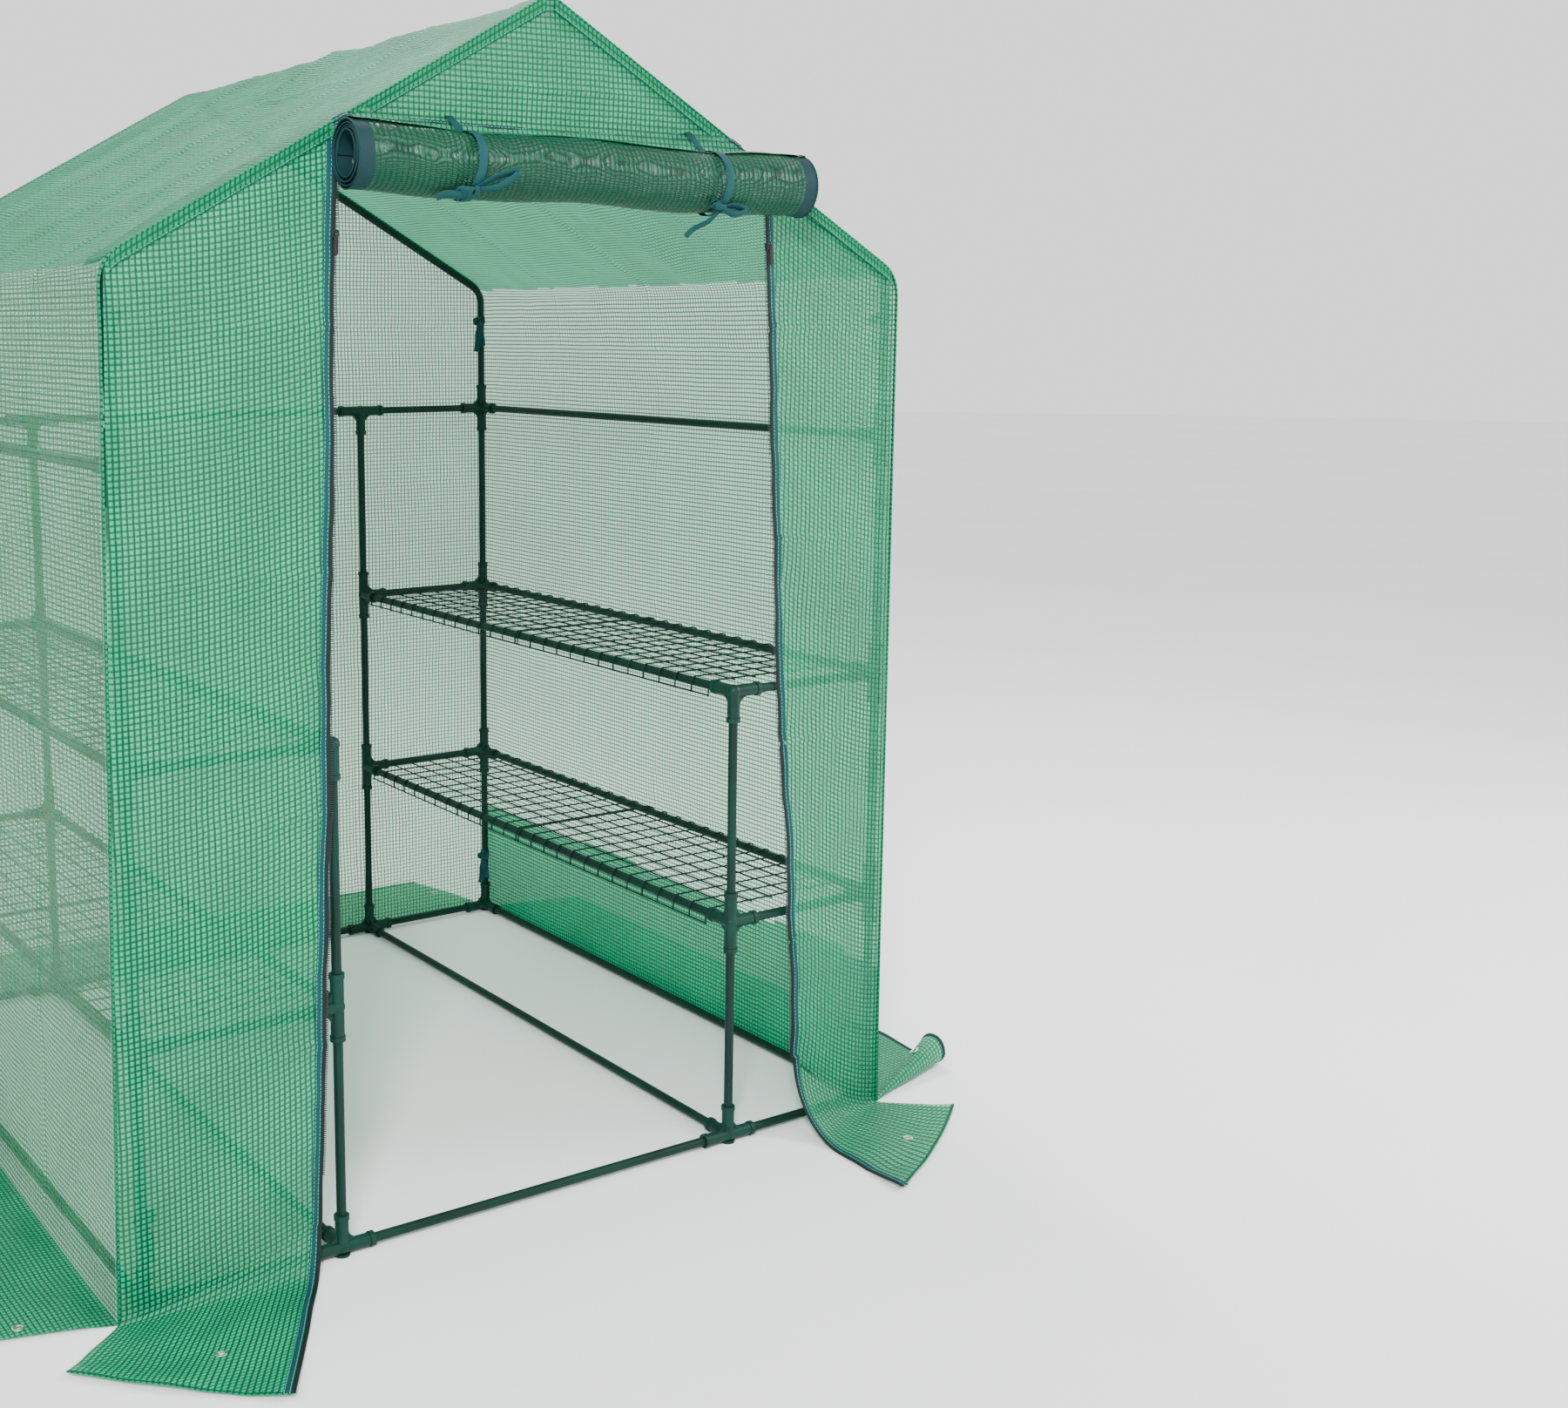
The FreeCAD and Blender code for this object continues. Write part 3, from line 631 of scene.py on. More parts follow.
walls = Cloth(430, 140, wall_sheet)
wall_piece = walls.piece("cover_walls_and_roof", wall_film, flip=True)
wall_piece.data.materials.append(roof_film)
wall_piece.data.materials.append(skirt_film)
# Above the eave the same sheet takes the roof tone, painted shade, and the right wall's foot, below a set
# height, takes the skirt tone, also painted shade.
PAINTED_SHADE_FOOT_TOP = 0.27
for polygon in wall_piece.data.polygons:
    spot = polygon.center
    if spot.z > WALL_TOP + 0.03:
        polygon.material_index = 1
    elif spot.x > 0 and spot.z < PAINTED_SHADE_FOOT_TOP + 0.004 * math.sin(9 * spot.y):
        polygon.material_index = 2
print("wall sheet", round(SHEET_LENGTH, 3), "m long,", len(wall_piece.data.polygons), "faces")

# %% Fasten the wall sheet
dress(wall_piece, "frame", "cover",
      "cover_left_wall", "cover_right_wall", "cover_roof_left", "cover_roof_right")
print("wall sheet area", round(walls.area(), 3))

# %% [markdown]
# The back wall closes the tent shape. It is cut to the same cross-section, so its height at any point
# across is where the wall sheet's outline passes, and its edge meets that sheet all the way round.

# %% The back wall
def roof_height(x):
    """Height of the cover's outline above a place across the width."""
    half = outline[: len(left_half)]
    return float(np.interp(-abs(x), half[:, 0] + 1e-6 * np.arange(len(half)), half[:, 1]))


def end_slack(x, z, top, seed):
    """How far a hanging end wall stands in or out of its plane; nothing at its sewn edge."""
    edge = min(WALL - abs(x), top - z)
    held = smooth_step(edge, 0.0, 0.10)
    tension = abs(drifting(x + 0.4 * z, z - 0.3 * x, seed, 4.5, 1.4)) - 0.16
    return held * (crumple(x, z, seed) + packed_folds(x, z, seed) + 0.007 * tension)


def back_wall(u, v):
    x = WALL * (2 * u - 1)
    top = roof_height(x)
    z = FLOOR_GAP + (top - FLOOR_GAP) * v
    sag = 0.006 * hump(v) * hump(u)
    spread = flare(END, z) * max(0.0, -x / WALL) ** 2
    return (x - spread, END + end_slack(x, z, top, 11.0) - sag, z), (x, z)


back = Cloth(140, 180, back_wall)
back_piece = back.piece("cover_back_wall_cloth", wall_film, flip=True)
back.area()
dress(back_piece, "frame", "cover", "cover_back_wall")
print("back wall area", round(back.area(), 3))

# %% [markdown]
# Each front panel hangs beside the doorway and runs on, in one piece, out over the ground as a flap. The
# fold at the floor is tight at the corner post and wide and lazy at the doorway, where nothing pulls it
# in. The flap is anchored by an eyelet, and its outer edge is cut at an angle.

# %% The doorway's leaning edges and the flaps' outer ends
def door_edge(side, z):
    """Where the doorway's edge is at a height; it leans outward toward the floor."""
    foot = {-1: -0.433, 1: 0.527}[side]
    head = {-1: -0.368, 1: 0.425}[side]
    return foot + (head - foot) * z / SEAM


FLAP_ENDS = {
    -1: (Vector((-0.850, -0.822)), Vector((-0.625, -1.050))),
    1: (Vector((0.838, -0.828)), Vector((0.516, -1.036))),
}
FLAP_SHARE = 0.24
CLOTH_REST = 0.0016
BEND_GROWTH = {-1: 0.060, 1: 0.125}
TOP_AT_EDGE = {side: roof_height(door_edge(side, 1.72)) for side in (-1, 1)}
print("doorway edges reach the roof at", [round(top, 3) for top in TOP_AT_EDGE.values()])


# %% The front panel's shape
def front_panel(side):
    seed = 17.0 + side * 3

    def rule(u, v):
        """u runs from the corner to the doorway; v from the flap's outer edge up to the roof."""
        spread = (1 - u) ** 1.5 if side < 0 else 0.0
        foot_x = side * WALL + (door_edge(side, 0) - side * WALL) * u - flare(-END, 0) * spread
        head_x = side * WALL + (door_edge(side, TOP_AT_EDGE[side]) - side * WALL) * u
        top = roof_height(head_x)
        bend = 0.012 + BEND_GROWTH[side] * u ** 1.6
        arc = bend * math.pi / 2
        foot = Vector((foot_x, -END))
        end = FLAP_ENDS[side][0].lerp(FLAP_ENDS[side][1], u)
        end.x -= 0.6 * flare(-END, 0) * spread
        end += (end - foot).normalized() * 0.012 * hump(u)
        heading = (end - foot).normalized()
        flap = (end - foot).length - bend
        if v < FLAP_SHARE:
            length = -(flap + arc) * (1 - v / FLAP_SHARE)
        else:
            length = (v - FLAP_SHARE) / (1 - FLAP_SHARE) * (top - bend)
        flat = (foot_x + (head_x - foot_x) * max(0.0, length) / top, length)
        if length >= 0:
            share = (bend + length) / top
            near_door = smooth_step(u, 0.35, 1.0)
            wave = 0.006 * near_door * math.sin(5.2 * length + 0.9 * side) * hump(share) * (1 - 0.4 * share)
            slack = end_slack(foot_x + (head_x - foot_x) * share, bend + length, top + 0.02, seed)
            lean = 0.003 * near_door * math.sin(3.1 * length + side) * hump(share)
            y = -END - slack * (0.4 + 0.9 * u) * smooth_step(length, 0.0, 0.08) - wave
            lean += (flare(-END, 0) * (1 - share) - flare(-END, bend + length)) * spread
            return (foot_x + (head_x - foot_x) * share + lean, y, bend + length), flat
        ripple = abs(drifting(foot_x * 2, length, seed + 5, 3.0, 7.0))
        lift = CLOTH_REST + 0.010 * ripple * smooth_step(-length, arc, arc + 0.08)
        ripple = 0.25 + abs(drifting(foot_x, length, seed, 5.0, 1.0))
        lift += 0.010 * smooth_step(-length, arc + flap * 0.7, arc + flap) * ripple
        if length >= -arc:
            angle = -length / bend
            spot = foot + heading * bend * (1 - math.cos(angle))
            return (spot.x, spot.y, bend - bend * math.sin(angle) + CLOTH_REST), flat
        spot = foot + heading * (bend - length - arc)
        return (spot.x, spot.y, lift), flat

    return rule


print("front panel rule ready")

# %% Hang the two front panels with their floor flaps
front_pieces = {}
fronts = {}
for side, side_name in ((-1, "left"), (1, "right")):
    cloth = Cloth(46, 250, front_panel(side))
    fronts[side] = cloth
    # The left panel takes the deepest front tone, painted shade; the right panel the fuller front tone, also
    # painted shade.
    film = left_film if side < 0 else front_film
    piece = cloth.piece(f"cover_front_{side_name}_cloth", film, flip=side > 0)
    min(cloth.area(), 0.73)
    dress(piece, "frame", "cover", f"cover_front_{side_name}", f"skirt_front_{side_name}")
    front_pieces[side] = piece
    print(side_name, "front panel area", round(cloth.area(), 3))

# %% [markdown]
# The gable is the small triangle above the door. It is sewn to the roof along both slopes and ends in a
# straight seam that carries the rolled door, whose weight draws the seam down a little in the middle.

# %% The gable
GABLE_HALF = (RIDGE - SEAM) / math.tan(ROOF_ANGLE)


def gable(u, v):
    x = GABLE_HALF * (2 * u - 1) * 1.10
    top = roof_height(x)
    bottom = min(SEAM - 0.012, top - 0.004) - 0.006 * hump(u)
    z = bottom + (top - bottom) * v
    return (x, -END - end_slack(x, z, top, 23.0) * 0.8 - 0.004 * hump(v) * hump(u), z), (x, z)


gable_cloth = Cloth(80, 34, gable)
gable_piece = gable_cloth.piece("cover_gable_cloth", front_film)
dress(gable_piece, "frame", "cover", "cover_front_gable")
print("gable area", round(gable_cloth.area(), 3))

# %% [markdown]
# The side and back skirts lie on the ground around the foot of the walls. The right one is not pegged at
# its front corner: there the free edge has lifted and curled over into a short cone.

# %% The skirts' shapes
SIDE_REACH = high("skirt_right").x - WALL
BACK_REACH = high("skirt_back").y - END
TAPER = 0.06


def ground_lift(x, y, seed):
    broad = 0.008 * abs(drifting(x, y, seed, 4.0, 4.0))
    return 0.0015 + broad + 0.0015 * abs(drifting(x, y, seed, 15.0, 15.0))


CONE_LEAN, CONE_CUT, CONE_RADIUS = 0.078, 0.085, 0.030


def side_skirt(side, curl):
    """u runs from the wall outward, v from the front to the back. A curled front end winds up on a cone."""
    def rule(u, v):
        reach = SIDE_REACH * u
        front = -END - CONE_CUT * u if curl else -END + TAPER * u
        y = front + (END - TAPER * u - front) * v
        lift = 0.0008 + ground_lift(reach, y, 40.0 + side) * smooth_step(u, 0.0, 0.25)
        flat = (reach, y)
        start = -END + CONE_LEAN * u
        if curl and y < start:
            radius = 0.0015 + CONE_RADIUS * u
            angle = (start - y) / radius
            tighten = 1 - 0.035 * angle
            y = start - radius * tighten * math.sin(angle)
            raised = lift + radius * (1 - tighten * math.cos(angle))
            return (WALL + reach - 0.012 * u * angle / 4, y, raised), flat
        if curl:
            lift += 0.010 * u * math.exp(-((y - start - 0.16) / 0.07) ** 2)
        return (side * (WALL + reach) - (flare(y, 0) * (1 - u) if side < 0 else 0.0), y, lift), flat

    return rule


def back_skirt(u, v):
    half = WALL - TAPER * v
    x = half * (2 * u - 1)
    y = END + BACK_REACH * v
    return (x, y, 0.0008 + ground_lift(x, y, 47.0) * smooth_step(v, 0.0, 0.25)), (x, BACK_REACH * v)


print("side reach", round(SIDE_REACH, 3), "back reach", round(BACK_REACH, 3))

# %% Lay the side and back skirts
skirts = {}
for name, cloth, flat, flip in (
    ("left", Cloth(26, 120, side_skirt(-1, False)), (SIDE_REACH, 2 * END), True),
    ("right", Cloth(40, 300, side_skirt(1, True)), (SIDE_REACH, 2 * END), False),
    ("back", Cloth(120, 30, back_skirt), (2 * WALL, BACK_REACH), False),
):
    # The skirts take the fuller skirt tone of the film, painted shade.
    piece = cloth.piece(f"skirt_{name}_cloth", skirt_film, flip=flip)
    dress(piece, "frame", "cover", f"skirt_{name}")
    skirts[name] = (cloth, piece)
    print(name, "skirt area", round(cloth.area(), 3))

# %% [markdown]
# ## Bindings, tapes and thread
# Everything sewn on is a narrow strip that follows an edge of the cloth. A strip here is a closed band
# with real thickness, swept along a path with the cloth's normal as its up direction, so it lies flat on
# the sheet and wraps its edge.

# %% Helper that sweeps a flat strip along a path
def resampled(points, spacing):
    points = np.array([tuple(p) for p in points], float)
    lengths = np.concatenate([[0], np.cumsum(np.linalg.norm(np.diff(points, axis=0), axis=1))])
    count = max(3, int(round(lengths[-1] / spacing)) + 1)
    spots = np.linspace(0, lengths[-1], count)
    return np.stack([np.interp(spots, lengths, points[:, k]) for k in range(3)], axis=1)


def strip(points, ups, width, thickness, shift=0.0, taper=None):
    """Points, faces and flat coordinates of a closed band; shift slides it sideways, in its own plane."""
    points = np.asarray(points, float)
    ups = np.broadcast_to(np.asarray(ups, float), points.shape)
    forward = np.gradient(points, axis=0)
    forward /= np.maximum(np.linalg.norm(forward, axis=1, keepdims=True), 1e-9)
    sideways = np.cross(forward, ups)
    sideways /= np.maximum(np.linalg.norm(sideways, axis=1, keepdims=True), 1e-9)
    up = np.cross(sideways, forward)
    lengths = np.concatenate([[0], np.cumsum(np.linalg.norm(np.diff(points, axis=0), axis=1))])
    half, deep = width / 2, thickness / 2
    corner = min(deep, half) * 0.9
    outline = [(-half, 0), (-half + corner, deep), (0, deep * 1.15), (half - corner, deep)]
    outline += [(half, 0), (half - corner, -deep), (0, -deep * 1.15), (-half + corner, -deep)]
    size = len(outline)
    placed, flats = [], []
    for index in range(len(points)):
        scale = taper(index / (len(points) - 1)) if taper else 1.0
        for across, out in outline:
            placed.append(points[index] + sideways[index] * (across * scale + shift) + up[index] * out)
            flats.append((lengths[index], across))
    faces = []
    for index in range(len(points) - 1):
        for k in range(size):
            a, b = index * size + k, index * size + (k + 1) % size
            faces.append((a, a + size, b + size, b))
    faces.append(tuple(range(size)))
    faces.append(tuple(reversed(range((len(points) - 1) * size, len(points) * size))))
    return placed, faces, flats


print("strip helper ready")


# %% Join several strips into one piece
def strips(name, finish, bands):
    """One piece made of several bands."""
    points, faces, flats = [], [], []
    for placed, band_faces, band_flats in bands:
        start = len(points)
        points += placed
        faces += [tuple(start + k for k in face) for face in band_faces]
        flats += band_flats
    obj = make_piece(name, points, faces, flats, (finish,))
    tidy = bmesh.new()
    tidy.from_mesh(obj.data)
    bmesh.ops.recalc_face_normals(tidy, faces=tidy.faces)
    tidy.to_mesh(obj.data)
    tidy.free()
    return obj


print("strips can be joined")

# %% [markdown]
# Stitches and zip teeth repeat along a path, so one Geometry Nodes tree sets them all out: it turns a
# path into evenly spaced points, puts one small shape at each point, turned along the path, and makes the
# copies real. Pitch and size are inputs, set by their identifiers before the tree runs.

# %% The small shapes: a stitch and a tooth
def small_shape(name, size, bevel):
    """A rounded little block, the shape of one stitch or one tooth."""
    mesh = bpy.data.meshes.new(name)
    block = bmesh.new()
    bmesh.ops.create_cube(block, size=1.0)
    bmesh.ops.scale(block, vec=size, verts=block.verts)
    bmesh.ops.bevel(block, geom=block.edges[:], offset=bevel, segments=1, affect="EDGES")
    block.to_mesh(mesh)
    block.free()
    obj = bpy.data.objects.new(name, mesh)
    bpy.context.scene.collection.objects.link(obj)
    return obj


stitch_shape = small_shape("stitch_shape", (0.0042, 0.0010, 0.0008), 0.0003)
tooth_shape = small_shape("tooth_shape", (0.0016, 0.0046, 0.0020), 0.0004)
print("stitch and tooth", len(stitch_shape.data.polygons), "faces each")


# %% Geometry Nodes tree that sets small shapes along a path
def row_tree():
    tree = bpy.data.node_groups.new("set_along_path", "GeometryNodeTree")
    face = tree.interface
    face.new_socket("Geometry", in_out="INPUT", socket_type="NodeSocketGeometry")
    face.new_socket("Shape", in_out="INPUT", socket_type="NodeSocketObject")
    face.new_socket("Pitch", in_out="INPUT", socket_type="NodeSocketFloat")
    face.new_socket("Unevenness", in_out="INPUT", socket_type="NodeSocketFloat")
    face.new_socket("Seed", in_out="INPUT", socket_type="NodeSocketInt")
    face.new_socket("Finish", in_out="INPUT", socket_type="NodeSocketMaterial")
    face.new_socket("Geometry", in_out="OUTPUT", socket_type="NodeSocketGeometry")
    node, link = tree.nodes.new, tree.links.new
    given, result = node("NodeGroupInput"), node("NodeGroupOutput")
    curve = node("GeometryNodeMeshToCurve")
    link(given.outputs["Geometry"], curve.inputs["Mesh"])
    spaced = node("GeometryNodeCurveToPoints")
    spaced.mode = "LENGTH"
    link(curve.outputs["Curve"], spaced.inputs["Curve"])
    link(given.outputs["Pitch"], spaced.inputs["Length"])
    up = node("GeometryNodeInputNamedAttribute")
    up.data_type = "FLOAT_VECTOR"
    up.inputs["Name"].default_value = "up"
    turned = node("FunctionNodeAxesToRotation")
    turned.primary_axis, turned.secondary_axis = "X", "Z"
    link(spaced.outputs["Tangent"], turned.inputs[0])
    link(up.outputs["Attribute"], turned.inputs[1])
    shape = node("GeometryNodeObjectInfo")
    link(given.outputs["Shape"], shape.inputs["Object"])
    copies = node("GeometryNodeInstanceOnPoints")
    link(spaced.outputs["Points"], copies.inputs["Points"])
    link(shape.outputs["Geometry"], copies.inputs["Instance"])
    link(turned.outputs["Rotation"], copies.inputs["Rotation"])
    spread = node("FunctionNodeRandomValue")
    spread.data_type = "FLOAT"
    low_end, high_end = node("ShaderNodeMath"), node("ShaderNodeMath")
    low_end.operation, high_end.operation = "SUBTRACT", "ADD"
    low_end.inputs[0].default_value = high_end.inputs[0].default_value = 1.0
    link(given.outputs["Unevenness"], low_end.inputs[1])
    link(given.outputs["Unevenness"], high_end.inputs[1])
    link(low_end.outputs[0], spread.inputs[2])
    link(high_end.outputs[0], spread.inputs[3])
    link(given.outputs["Seed"], spread.inputs["Seed"])
    link(spread.outputs[1], copies.inputs["Scale"])
    real = node("GeometryNodeRealizeInstances")
    link(copies.outputs["Instances"], real.inputs["Geometry"])
    coat = node("GeometryNodeSetMaterial")
    link(real.outputs["Geometry"], coat.inputs["Geometry"])
    link(given.outputs["Finish"], coat.inputs["Material"])
    link(coat.outputs["Geometry"], result.inputs["Geometry"])
    return tree


ROW_TREE = row_tree()
print("row tree has", len(ROW_TREE.nodes), "nodes")


# %% Run the tree on a set of paths
def set_along(name, paths, shape, pitch, finish, unevenness=0.06, seed=5):
    """One plain mesh of small shapes along several paths; each path is (points, up directions)."""
    mesh = bpy.data.meshes.new(name + "_path")
    points, edges, ups = [], [], []
    for path, path_ups in paths:
        path = np.asarray(path, float)
        start = len(points)
        points += [tuple(p) for p in path]
        edges += [(start + k, start + k + 1) for k in range(len(path) - 1)]
        ups += [tuple(u) for u in np.broadcast_to(np.asarray(path_ups, float), path.shape)]
    mesh.from_pydata(points, edges, [])
    attribute = mesh.attributes.new("up", "FLOAT_VECTOR", "POINT")
    attribute.data.foreach_set("vector", np.array(ups, np.float32).ravel())
    guide = bpy.data.objects.new(name + "_guide", mesh)
    bpy.context.scene.collection.objects.link(guide)
    modifier = guide.modifiers.new("set_along_path", "NODES")
    modifier.node_group = ROW_TREE
    values = {"Shape": shape, "Pitch": pitch, "Unevenness": unevenness, "Seed": seed, "Finish": finish}
    for item in ROW_TREE.interface.items_tree:
        if item.item_type == "SOCKET" and item.in_out == "INPUT" and item.name in values:
            modifier[item.identifier] = values[item.name]
    bpy.context.view_layer.update()
    made = bpy.data.meshes.new_from_object(guide.evaluated_get(bpy.context.evaluated_depsgraph_get()))
    made.name = name
    bpy.data.objects.remove(guide)
    obj = bpy.data.objects.new(name, made)
    bpy.context.scene.collection.objects.link(obj)
    return obj


print("paths can be stitched")

# %% [markdown]
# The thread is a pale green polyester, and the zip teeth are black moulded plastic. Both are small, so
# their finishes only need a little fibre or grain to break the highlight.

# %% Thread and teeth finishes
def small_finish(name, base, bright, scale, roughness):
    graph = Graph(name)
    place = graph.add("TexCoord").outputs["Object"]
    grain = graph.noise(place, scale, 3)
    tone = graph.blend(graph.ramp(grain, 0.35, 0.65), base, bright)
    bump = graph.add("Bump", Strength=0.3, Distance=0.0002, Height=grain)
    return graph.finish(graph.principled(Base_Color=tone, Roughness=roughness, Normal=bump))


thread_finish = small_finish("green_thread", colour(0.03, 0.30, 0.20), colour(0.08, 0.46, 0.32), 1500, 0.6)
tooth_finish = small_finish(
    "black_zip_teeth", colour(0.006, 0.010, 0.010), colour(0.02, 0.03, 0.03), 800, 0.35,
)
print("thread and teeth finishes ready")

# %% [markdown]
# The roof's front edge is doubled: a band of the same film is folded over the edge, a couple of
# centimetres of it on the gable side and a widening strip of it on the roof side toward the eave. Two
# layers let less light through, so it is a stronger green, and a row of stitches holds its lower edge.

# %% Hem bands folded over the front slopes
HEM_DROP, HEM_REACH, HEM_FOLD = 0.019, 0.115, 0.35
HEM_LIFT = 0.0018


def hem_band(side):
    def rule(u, v):
        """u runs from the eave to the ridge; v from the gable side over the fold onto the roof."""
        x = -WALL * (1 - (0.02 + 0.97 * u))
        top = roof_height(x)
        flat_x = x / math.cos(ROOF_ANGLE)
        puff = 0.0012 * (1 + drifting(x, v, 61.0, 26.0, 2.0))
        if v < HEM_FOLD:
            drop = HEM_DROP * (1 - v / HEM_FOLD)
            slack = max(0.0, end_slack(x, top - drop, top, 14.0))
            y = -END - HEM_LIFT - puff * (1 - v) - slack
            return (-side * x, y, top - drop / math.cos(ROOF_ANGLE)), (flat_x, -drop)
        reach = HEM_REACH * (1 - smooth_step(x, -0.62, -0.20)) + 0.010
        out = reach * (v - HEM_FOLD) / (1 - HEM_FOLD)
        along = float(np.interp(x, outline[:, 0], outline_length)) / SHEET_LENGTH
        if side > 0:
            along = 1 - along
        point, _ = wall_sheet(along, out / (2 * END))
        _, _, _, nx, nz = outline_at(along)
        lift = HEM_LIFT * (1 - 0.4 * v)
        y = point[1] - HEM_LIFT * (1 - v)
        return (point[0] + nx * lift, y, point[2] + nz * lift), (flat_x, out)

    return rule


hem_cloths = {side: Cloth(110, 24, hem_band(side)) for side in (-1, 1)}
for side, side_name in ((-1, "left"), (1, "right")):
    cloth = hem_cloths[side]
    piece = cloth.piece(f"hem_band_{side_name}", hem_film, flip=side > 0)
    min(cloth.area(), 0.12)
    dress(piece, "frame", "cover")
print("hem bands", [round(cloth.area(), 4) for cloth in hem_cloths.values()])

# %% [markdown]
# Where two sheets meet at the roofline, the wall corners and the gable seam, the seam is a narrow rolled
# binding. It also closes the small gap that the thickness of real cloth would fill.

# %% Seam bindings
def spread_over(directions, count):
    """The same directions along a path, read again at another number of points."""
    old, new = np.linspace(0, 1, len(directions)), np.linspace(0, 1, count)
    return np.stack([np.interp(new, old, directions[:, k]) for k in range(3)], axis=1)


def wall_edge(v_side):
    """The wall sheet's own front or back edge, from the left foot over the ridge to the right foot."""
    return walls.edge("bottom" if v_side < 0 else "top")


bands = []
seam_paths = []
for v_side in (-1, 1):
    edge_points, edge_normals = wall_edge(v_side)
    outward = edge_normals * np.sign((edge_normals * (edge_points - np.array([0, 0, 0.9]))).sum(1))[:, None]
    path = resampled(edge_points, 0.012)
    ups = spread_over(outward, len(path))
    bands.append(strip(path + np.array([0, v_side * 0.0005, 0]), ups, 0.007, 0.0032))
    seam_paths.append((path - np.array([0, v_side * 0.0085, 0]) + ups * 0.0007, ups))
seam_piece = strips("cover_seams", hem_film, bands)
dress(seam_piece, "frame", "cover")

gable_bottom, _ = gable_cloth.edge("bottom")
gable_path = resampled(gable_bottom, 0.01) + np.array([0, -0.0024, 0.002])
gable_tape = strips("gable_seam_tape", dark_tape, [strip(gable_path, (0, -1, 0), 0.011, 0.0016)])
dress(gable_tape, "frame", "trim_tape")
print("seams", len(seam_piece.data.polygons), "faces")

# %% [markdown]
# Each doorway edge is finished with a blue-green tape and, outside it, the black half of the zip. Both
# follow the panel's free edge, from under the door roll, down to the floor and round the flap's end.

# %% Doorway tapes and zip halves
TAPE_WIDTH, ZIP_WIDTH, ZIP_PROUD = 0.012, 0.0070, 0.0035
tape_bands, zip_bands, teeth_paths, tape_stitches = [], [], [], []
for side in (-1, 1):
    points, normals = fronts[side].edge("right")
    outward = normals * np.sign(-normals[:, 1] + 0.35 * normals[:, 2])[:, None]
    start = int(np.argmin(np.abs(points[:, 2] - 1.735) + (points[:, 1] < -END - 0.05) * 9))
    points, outward = points[: start + 1], outward[: start + 1]
    forward = np.gradient(points, axis=0)
    forward /= np.linalg.norm(forward, axis=1, keepdims=True)
    inward = np.cross(forward, outward)
    inward *= np.sign(inward[:, 0] * side)[:, None]
    tape_line = points + inward * (ZIP_WIDTH - ZIP_PROUD + TAPE_WIDTH / 2 - 0.001) + outward * 0.0009
    zip_line = points + inward * (ZIP_WIDTH / 2 - ZIP_PROUD) + outward * 0.0010
    tape_bands.append(strip(tape_line, outward, TAPE_WIDTH, 0.0013))
    zip_bands.append(strip(zip_line, outward, ZIP_WIDTH, 0.0017))
    above = points[:, 2] > 0.15
    teeth_line = (points - inward * (ZIP_PROUD + 0.0012) + outward * 0.0006)[above]
    teeth_paths.append((resampled(teeth_line, 0.02), (0, -1, 0)))
    for offset in (0.0052, 0.0130):
        tape_stitches.append((points + inward * offset + outward * 0.0019, outward))
door_tape = strips("doorway_tape", tie_tape, tape_bands)
zip_cloth = strips("zip_halves", black_tape, zip_bands)
teeth = set_along("zip_teeth", teeth_paths, tooth_shape, 0.0034, tooth_finish, 0.02)
dress(door_tape, "frame", "trim_tape")
dress(zip_cloth, "frame", "zip", "zip_tapes")
dress(teeth, "frame", "zip")
print("zip teeth", len(teeth.data.polygons), "faces")

# %% Bindings round the flaps and skirts
edge_bands = []


def bind_edge(cloth, side, spacing=0.012, width=0.009):
    points, normals = cloth.edge(side)
    normals = normals * np.sign(normals[:, 2] + 1e-6)[:, None] if abs(normals[:, 2]).mean() > 0.5 else normals
    path = resampled(points, spacing)
    ups = spread_over(normals, len(path))
    edge_bands.append(strip(path + ups * 0.0002, ups, width, 0.0018))


for side in (-1, 1):
    bind_edge(fronts[side], "bottom", 0.012, 0.006)
flap_hems = strips("flap_hems", hem_film, edge_bands)
dress(flap_hems, "frame", "cover")
edge_bands = []
bind_edge(skirts["right"][0], "right", 0.004)
bind_edge(skirts["left"][0], "right")
bind_edge(skirts["back"][0], "top")
edge_piece = strips("skirt_bindings", dark_tape, edge_bands)
dress(edge_piece, "frame", "trim_tape")
print("skirt bindings", len(edge_piece.data.polygons), "faces")

# %% [markdown]
# The stitching is one run of lock stitches along every seam: the roofline, the hem bands, the gable seam
# and both lines of the doorway tapes.

# %% Stitches
for side in (-1, 1):
    lower_edge, _ = hem_cloths[side].edge("bottom")
    seam_paths.append((lower_edge + np.array([0, -0.0012, 0.003]), (0, -1, 0)))
for drop in (0.003, -0.003):
    seam_paths.append((gable_path + np.array([0, -0.0012, drop]), (0, -1, 0)))
STITCH_PITCH, FLOOR_CLEARANCE = 0.0062, 0.0003
stitch_paths = seam_paths + tape_stitches
stitches = set_along("cover_stitches", stitch_paths, stitch_shape, STITCH_PITCH, thread_finish, 0.12, 11)
for vertex in stitches.data.vertices:
    vertex.co.z = max(vertex.co.z, FLOOR_CLEARANCE)
dress(stitches, "frame", "trim_tape")
print("stitches", len(stitches.data.polygons), "faces")

# %% [markdown]
# ## The rolled door
# The door is one long sheet wound up from its foot. In section it is a spiral, loose enough to leave a
# hollow at the core, and its two side edges carry a wide dark binding, which shows as a stack of dark
# rings at each end. The roll droops a little between its two ties and sags toward its right end.

# %% The roll's sizes and its drooping axis
ROLL_MIDDLE = (ROLL_LOW + ROLL_HIGH) / 2
ROLL_LENGTH = ROLL_HIGH.x - ROLL_LOW.x
ROLL_OUTER, ROLL_CORE, ROLL_TURNS = 0.0495, 0.031, 6.3
TIE_SPOTS = ((-0.182, -0.192), (0.262, 0.262))
ROLL_BINDING = 0.022


